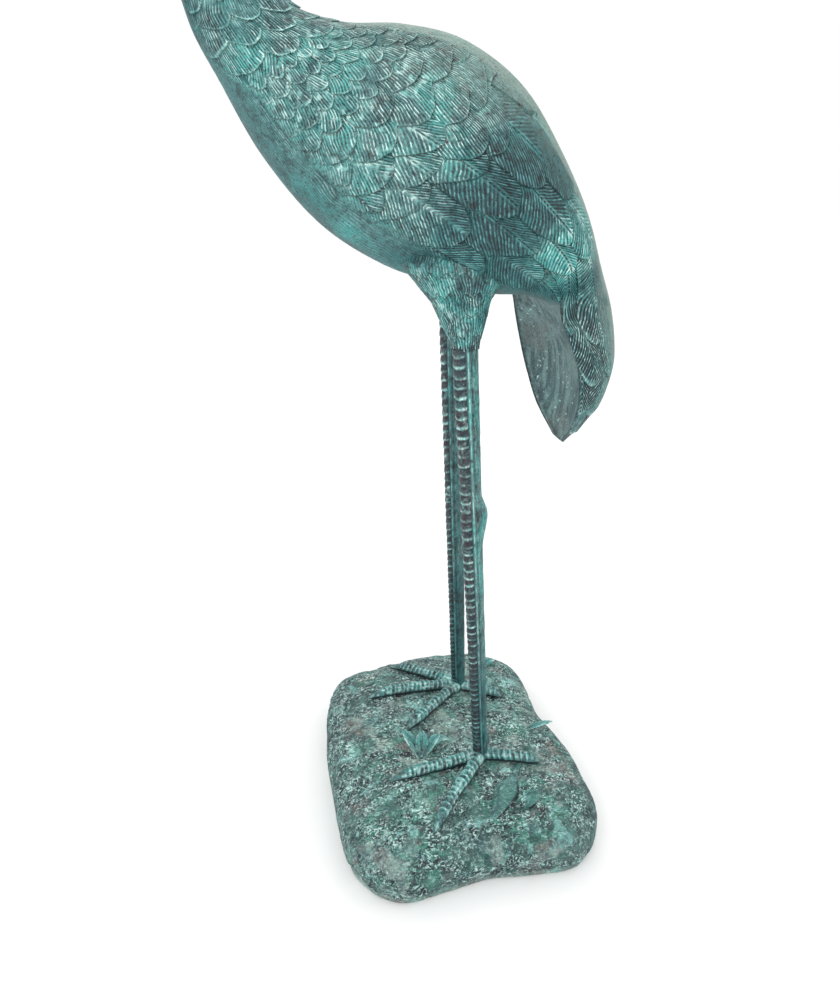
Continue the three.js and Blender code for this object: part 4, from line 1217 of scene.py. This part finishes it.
def bird_verdigris(colours):
    """Patina of the bird: teal with turquoise deposits, slate and plum in the carved lines, mint on
    their crests, sage along the back and a grey lining in the tail, under the smoke and painted shade
    of the tone. Slate in the lines and mint on the crests are partly patina and partly a painted shade
    and painted highlight of the carving. The lines follow the carving attribute and break up into
    dashes, each with its own brightness; the rest is noise at the object's own scale."""
    s = Shader("bird_verdigris")
    phase, strength, tone = s.attribute("carving")
    light, dark, deposit = s.attribute("wear_and_shade")
    area, run, plum = s.attribute("zone")
    patches = s.noise(s.place, 14, 3, 0.6)
    blots = s.noise(s.place, 95, 4, 0.65)
    clouds = s.noise(s.shifted(3, 5, 8), 42, 3, 0.6)
    grain = s.noise(s.place, 340, 3, 0.7)
    specks = s.noise(s.place, 850, 2, 0.6)
    streaks = s.noise(s.mapped(Scale=(1, 1, 0.12)), 95, 3, 0.65)

    waver = s.times(s.maths("SUBTRACT", s.noise(s.place, 55, 3), 0.5), 0.9)
    stroke = s.plus(phase, waver)
    line = s.maths("FLOOR", stroke)
    dash = s.plus(run, s.times(s.scatter(line, 0.5), 3))
    own = s.scatter(line, s.maths("FLOOR", dash))
    within = s.maths("FRACT", dash)
    cut = s.times(s.ramp(within, 0, 0.16), s.ramp(within, 1, 0.7), s.ramp(own, 0.12, 0.75, 0.15, 1.05),
                  s.ramp(blots, 0.38, 0.58, 0.55, 1.15))
    wave = s.maths("SINE", s.times(stroke, TURN))
    # Mint on the strokes' crests and slate in their grooves: partly patina, partly a painted highlight and
    # painted shade of the carving.
    crest_mint_and_highlight = s.times(s.ramp(wave, 0.12, 0.85), strength, cut)
    groove = s.times(s.ramp(wave, 0.2, -0.6), strength, s.ramp(own, 1, 0, 0.45, 1))

    colour = s.mix(s.ramp(blots, 0.38, 0.6), blended((0.42, colours.teal)), colours.teal)
    thick = s.gathered(s.times(deposit, s.ramp(grain, 0.3, 0.58, 0.35, 1)),
                       s.ramp(patches, 0.54, 0.7, 0, 0.5))
    colour = s.mix(thick, colour, colours.turquoise)
    on_back = s.maths("MULTIPLY", area, s.ramp(blots, 0.8, 0.3, 0.5, 0.95), clamp=True)
    colour = s.mix(on_back, colour, colours.sage)
    lining = s.mix(s.ramp(streaks, 0.38, 0.6), INNER_TAIL_DARK, INNER_TAIL_LIGHT)
    lining = s.mix(s.ramp(patches, 0.5, 0.62, 0, 0.6), lining, INNER_TAIL_BROWN)
    colour = s.mix(s.times(s.ramp(area, 0, -1), 0.9), colour, lining)
    colour = s.mix(s.times(plum, s.ramp(grain, 0.75, 0.35)), colour, colours.plum)

    shade = s.gathered(s.times(groove, 0.95), dark, s.ramp(grain, 0.47, 0.34, 0, 0.6),
                       s.ramp(blots, 0.42, 0.32, 0, 0.5))
    deep = s.mix(s.ramp(clouds, 0.42, 0.6, 0, 0.8), colours.slate, blended((0.7, colours.plum)))
    colour = s.mix(shade, colour, deep)
    # Mint on rims, shafts, crests and specks; on the crests it is partly a painted highlight.
    chalk = s.gathered(s.times(light, s.ramp(grain, 0.3, 0.55, 0.35, 1)), s.times(crest_mint_and_highlight, 0.95),
                       s.ramp(specks, 0.62, 0.72, 0, 0.5))
    dull_mint = blended((0.35, colours.mint), (0.65, colours.turquoise))
    pale = s.mix(s.ramp(own, 0.2, 0.8), dull_mint, colours.mint)
    pale = s.mix(s.ramp(tone, 0.35, 0.9, 0, 0.45), pale, blended((1.15, colours.turquoise)))
    colour = s.mix(chalk, colour, pale)
    smoke = s.times(s.ramp(clouds, 0.5, 0.34, 0, 0.5), s.ramp(strength, 0.1, 0.5, 0.1, 1))
    # The tone's darker patina, smoke and painted shade on the belly multiply the colour.
    colour = s.mix(s.gathered(tone, smoke), colour, SMOKE_AND_SHADE, "MULTIPLY")

    height = s.plus(s.times(wave, strength, 0.55), s.times(grain, 0.7), s.times(specks, 0.25),
                    s.times(blots, 0.6))
    roughness = s.plus(s.ramp(blots, 0.3, 0.7, 0.46, 0.7), s.times(chalk, 0.12))
    return s.finish(colour, roughness, s.bump(0.85, 0.0011, height), 0.2)


def rock_verdigris(colours):
    """Patina of the rock: soft patches of grey teal, green, pale bloom, mint and brown, with worm-like
    mint and slate marks, darker in smoky places and with painted shade low down. The mesh's attribute
    adds light on ridges, dark in pits, painted shade in creases, painted shadows round the toes and on
    the flat leaves, and teal on leaves."""
    s = Shader("rock_verdigris")
    light, dark, leaf = s.attribute("wear_and_shade")
    level = s.parts(s.place)[2]
    foot = s.ramp(level, 0.022, 0.008)

    def contour(field, half, middle=0.5):
        return s.ramp(s.maths("ABSOLUTE", s.maths("SUBTRACT", field, middle)), half, half * 0.25)

    broad = s.noise(s.shifted(3, 1, 7), 8, 3, 0.6)
    patches = s.noise(s.place, 21, 4, 0.62)
    blooms = s.noise(s.shifted(5, 2, 1), 19, 4, 0.6, 0.5)
    browns = s.noise(s.shifted(2, 9, 4), 22, 3, 0.6)
    mints = s.noise(s.shifted(8, 3, 6), 26, 3, 0.6, 0.6)
    busy = s.ramp(s.noise(s.shifted(6, 5, 2), 24, 3), 0.38, 0.56, 0.4, 1)
    smoke = s.noise(s.shifted(9, 7, 5), 44, 3, 0.62, 0.4)
    blotch = s.noise(s.shifted(7, 4, 3), 62, 4, 0.66, 0.8)
    scribble = s.noise(s.mapped(Rotation=(0, 0, 0.65), Scale=(0.42, 1, 1)), 84, 2, 0.5, 1.4)
    worms = s.noise(s.shifted(1, 6, 2), 125, 1.5, 0.45, 1.3)
    breaks = s.noise(s.place, 230, 2, 0.6)
    grain = s.noise(s.place, 480, 3, 0.7)

    grey_teal = blended((0.5, colours.teal), (0.12, colours.sage))
    colour = s.mix(s.ramp(patches, 0.4, 0.6), blended((0.3, colours.teal)), grey_teal)
    green = s.times(s.ramp(broad, 0.42, 0.6, 0.2, 1), s.ramp(blotch, 0.42, 0.58, 0.2, 1), 0.8)
    colour = s.mix(green, colour, ROCK_GREEN)
    bloom = s.times(s.ramp(blooms, 0.53, 0.65), s.ramp(grain, 0.36, 0.56, 0.35, 1), 0.85)
    bloom = s.gathered(bloom, s.times(foot, 0.4))
    colour = s.mix(bloom, colour, ROCK_BLOOM)
    minty = s.times(s.ramp(mints, 0.55, 0.66), s.ramp(blotch, 0.38, 0.56, 0.3, 1))
    deposit = blended((0.5, colours.turquoise), (0.25, colours.mint), (0.1, colours.sage))
    colour = s.mix(minty, colour, deposit)
    colour = s.mix(s.ramp(browns, 0.55, 0.64, 0, 0.75), colour, ROCK_BROWN)
    bare = s.times(s.ramp(browns, 0.63, 0.7), s.ramp(breaks, 0.4, 0.55, 0.5, 1), 0.45)
    colour = s.mix(bare, colour, colours.bare_bronze)
    leaf_teal = blended((0.4, colours.teal), (0.2, colours.turquoise))
    colour = s.mix(s.times(leaf, 0.85), colour, leaf_teal)

    rough = s.times(s.ramp(leaf, 0, 0.8, 1, 0.3), s.ramp(foot, 0, 1, 1, 0.6), busy,
                    s.ramp(bloom, 0, 1, 1, 0.5))
    shade = s.gathered(s.ramp(blotch, 0.5, 0.38, 0, 0.7), s.ramp(grain, 0.46, 0.34, 0, 0.4),
                       s.times(contour(scribble, 0.055), 0.95), s.times(dark, 0.7))
    # Painted shade along the flat leaves' raised edge.
    shade = s.maths("MAXIMUM", s.times(shade, rough), s.times(leaf, dark, 1.4))
    colour = s.mix(shade, colour, blended((0.65, colours.slate)))
    marks = s.maths("MAXIMUM", contour(worms, 0.052), contour(scribble, 0.042, 0.6))
    chalk = s.gathered(s.times(marks, s.ramp(breaks, 0.45, 0.58, 0.05, 1)), s.times(light, 0.5),
                       s.ramp(blotch, 0.66, 0.72, 0, 0.8), s.ramp(grain, 0.66, 0.74, 0, 0.5))
    colour = s.mix(s.times(chalk, rough), colour, blended((0.9, colours.mint), (0.1, colours.sage)))
    # Smoke, and painted shade low down on the rock.
    smoke_and_low_shade = s.plus(s.ramp(smoke, 0.5, 0.37, 0, 0.55), s.ramp(level, 0.1, 0.06, 0, 0.35))
    colour = s.mix(s.times(smoke_and_low_shade, s.ramp(foot, 0, 1, 1, 0.5)), colour, SMOKE_AND_SHADE, "MULTIPLY")

    height = s.plus(s.times(scribble, 0.9), s.times(grain, 0.4), s.times(blotch, 1.2))
    return s.finish(colour, s.ramp(grain, 0.3, 0.7, 0.55, 0.8), s.bump(0.8, 0.0024, height), 0.12)


def finish_of(maker):
    """The material that a function makes, made once."""
    if maker.__name__ not in FINISHES:
        FINISHES[maker.__name__] = maker(bpy.context.scene.crane_colours)
    return FINISHES[maker.__name__]


# Operators


class CRANE_OT_body(bpy.types.Operator):
    """Neck, shoulders, folded wings and drooping tail with their carved feathers"""

    bl_idname = "crane.body"
    bl_label = "Body and plumage"
    bl_options = {"REGISTER", "UNDO"}

    def execute(self, context):
        sizes = context.scene.crane_sizes
        for name, first, last, rows, columns in BODY_PIECES:
            surface = body_surface(first, last, rows, columns, sizes)
            make_tube(name, surface, finish_of(bird_verdigris), "crane")
        return {"FINISHED"}


class CRANE_OT_head(bpy.types.Operator):
    """Head with its straight beak, and the eyes"""

    bl_idname = "crane.head"
    bl_label = "Head and eyes"
    bl_options = {"REGISTER", "UNDO"}

    def execute(self, context):
        make_tube("head", head_surface(), finish_of(bird_verdigris), "crane")
        for name, side in (("left", -1), ("right", 1)):
            make_tube(name + "_eye", eye_surface(side), finish_of(bird_verdigris), "crane")
        return {"FINISHED"}


class CRANE_OT_legs(bpy.types.Operator):
    """Feathered thighs and scaled legs"""

    bl_idname = "crane.legs"
    bl_label = "Thighs and legs"
    bl_options = {"REGISTER", "UNDO"}

    def execute(self, context):
        sizes = context.scene.crane_sizes
        for name, leg in LEGS.items():
            make_tube(name + "_leg", leg_surface(leg, sizes), finish_of(bird_verdigris), "crane")
            make_tube(name + "_thigh", thigh_surface(leg, sizes), finish_of(bird_verdigris), "crane")
        return {"FINISHED"}


class CRANE_OT_toes(bpy.types.Operator):
    """Ringed toes with their claws"""

    bl_idname = "crane.toes"
    bl_label = "Toes"
    bl_options = {"REGISTER", "UNDO"}

    def execute(self, context):
        sizes = context.scene.crane_sizes
        for number, (name, heading, length, ring_share) in enumerate(TOES):
            surface = toe_surface(LEGS[name], heading, length, ring_share, sizes)
            make_tube(f"{name}_toe_{number}", surface, finish_of(bird_verdigris), "crane")
        return {"FINISHED"}


class CRANE_OT_rock(bpy.types.Operator):
    """Cast rock that the bird stands on"""

    bl_idname = "crane.rock"
    bl_label = "Rock"
    bl_options = {"REGISTER", "UNDO"}

    def execute(self, context):
        sizes = context.scene.crane_sizes
        places, quads, fans, finish = rock_surface(sizes)
        make_piece("rock", places, quads, fans, finish, finish_of(rock_verdigris), "rock_base")
        return {"FINISHED"}


class CRANE_OT_plants(bpy.types.Operator):
    """Small leaves that grow on the rock"""

    bl_idname = "crane.plants"
    bl_label = "Plants"
    bl_options = {"REGISTER", "UNDO"}

    def execute(self, context):
        for number, (start, end, half, rise) in enumerate(LEAVES):
            surface = leaf_surface(start, end, half, rise=rise)
            make_tube(f"leaf_{number}", surface, finish_of(bird_verdigris), "rock_base")
        for number, (start, end, half, height) in enumerate(FLAT_LEAVES):
            surface = leaf_surface(start, end, half, flat_height=height)
            make_tube(f"flat_leaf_{number}", surface, finish_of(rock_verdigris), "rock_base")
        return {"FINISHED"}


class CRANE_OT_stage(bpy.types.Operator):
    """Pale floor, soft studio light and the camera"""

    bl_idname = "crane.stage"
    bl_label = "Floor, light and camera"
    bl_options = {"REGISTER", "UNDO"}

    def execute(self, context):
        make_floor()
        make_lights(context.scene)
        make_camera(context.scene)
        return {"FINISHED"}


def make_floor():
    """Flat square floor with a plain pale finish."""
    s = Shader("pale_floor")
    tint = s.ramp(s.noise(s.place, 3, 2), 0.3, 0.7)
    colour = s.mix(tint, (0.925, 0.925, 0.925), (0.935, 0.935, 0.935))
    mesh = bpy.data.meshes.new("floor")
    corners = [(x * FLOOR_HALF, y * FLOOR_HALF, 0) for x, y in ((-1, -1), (1, -1), (1, 1), (-1, 1))]
    mesh.from_pydata(corners, [], [(0, 1, 2, 3)])
    mesh.materials.append(s.finish(colour, 0.9, s.bump(0.05, 0.001, s.noise(s.place, 200, 2)), 0.0))
    floor = bpy.data.objects.new("floor", mesh)
    bpy.context.scene.collection.objects.link(floor)


def make_lights(scene):
    """Even white surroundings, brighter overhead, one large lamp at the front left and two weaker."""
    world = bpy.data.worlds.new("studio")
    scene.world = world
    world.use_nodes = True
    tree = world.node_tree
    tree.nodes.clear()
    coordinate = tree.nodes.new("ShaderNodeTexCoord")
    split = tree.nodes.new("ShaderNodeSeparateXYZ")
    ramp = tree.nodes.new("ShaderNodeMapRange")
    background = tree.nodes.new("ShaderNodeBackground")
    output = tree.nodes.new("ShaderNodeOutputWorld")
    ramp.inputs["From Max"].default_value = 0.7
    ramp.inputs["To Min"].default_value = WORLD_LIGHT[0]
    ramp.inputs["To Max"].default_value = WORLD_LIGHT[1]
    tree.links.new(coordinate.outputs["Generated"], split.inputs[0])
    tree.links.new(split.outputs[2], ramp.inputs["Value"])
    tree.links.new(ramp.outputs[0], background.inputs["Strength"])
    tree.links.new(background.outputs[0], output.inputs[0])
    background.inputs["Color"].default_value = (1, 1, 1, 1)
    for name, place, size, power in LAMPS:
        lamp = bpy.data.lights.new(name, "AREA")
        lamp.size = size
        lamp.energy = power
        piece = bpy.data.objects.new(name, lamp)
        piece.location = place
        aim = Vector(LAMP_AIM) - Vector(place)
        piece.rotation_euler = aim.to_track_quat("-Z", "Y").to_euler()
        scene.collection.objects.link(piece)
    scene.view_settings.view_transform = "Standard"


def make_camera(scene):
    """Camera at the height of the bird's back, in front of its left side, looking down on it."""
    lens = bpy.data.cameras.new("camera")
    lens.lens = CAMERA["lens"]
    lens.clip_start = 0.01
    lens.clip_end = 500
    camera = bpy.data.objects.new("camera", lens)
    camera.location = CAMERA["place"]
    down, aside = CAMERA["down"], CAMERA["round"]
    ahead = Vector((np.sin(aside) * np.cos(down), np.cos(aside) * np.cos(down), -np.sin(down)))
    camera.rotation_euler = ahead.to_track_quat("-Z", "Y").to_euler()
    scene.collection.objects.link(camera)
    scene.camera = camera


class CRANE_PT_panel(bpy.types.Panel):
    """Lists the casting's sizes, colours and pieces"""

    bl_idname = "CRANE_PT_panel"
    bl_label = "Crane casting"
    bl_space_type = "VIEW_3D"
    bl_region_type = "UI"
    bl_category = "Crane"

    def draw(self, context):
        for group in (context.scene.crane_sizes, context.scene.crane_colours):
            for key in group.__annotations__:
                self.layout.prop(group, key)
        for operator in OPERATORS:
            self.layout.operator(operator.bl_idname)


OPERATORS = [
    CRANE_OT_stage, CRANE_OT_body, CRANE_OT_head, CRANE_OT_legs, CRANE_OT_toes, CRANE_OT_rock,
    CRANE_OT_plants,
]
CLASSES = [CraneSizes, CraneColours, *OPERATORS, CRANE_PT_panel]


def register():
    for part in CLASSES:
        bpy.utils.register_class(part)
    bpy.types.Scene.crane_sizes = PointerProperty(type=CraneSizes)
    bpy.types.Scene.crane_colours = PointerProperty(type=CraneColours)


def unregister():
    del bpy.types.Scene.crane_colours
    del bpy.types.Scene.crane_sizes
    for part in reversed(CLASSES):
        bpy.utils.unregister_class(part)


def main():
    """Builds every piece."""
    register()
    bpy.ops.crane.stage()
    bpy.ops.crane.body()
    bpy.ops.crane.head()
    bpy.ops.crane.legs()
    bpy.ops.crane.toes()
    bpy.ops.crane.rock()
    bpy.ops.crane.plants()


if __name__ == "__main__":
    main()
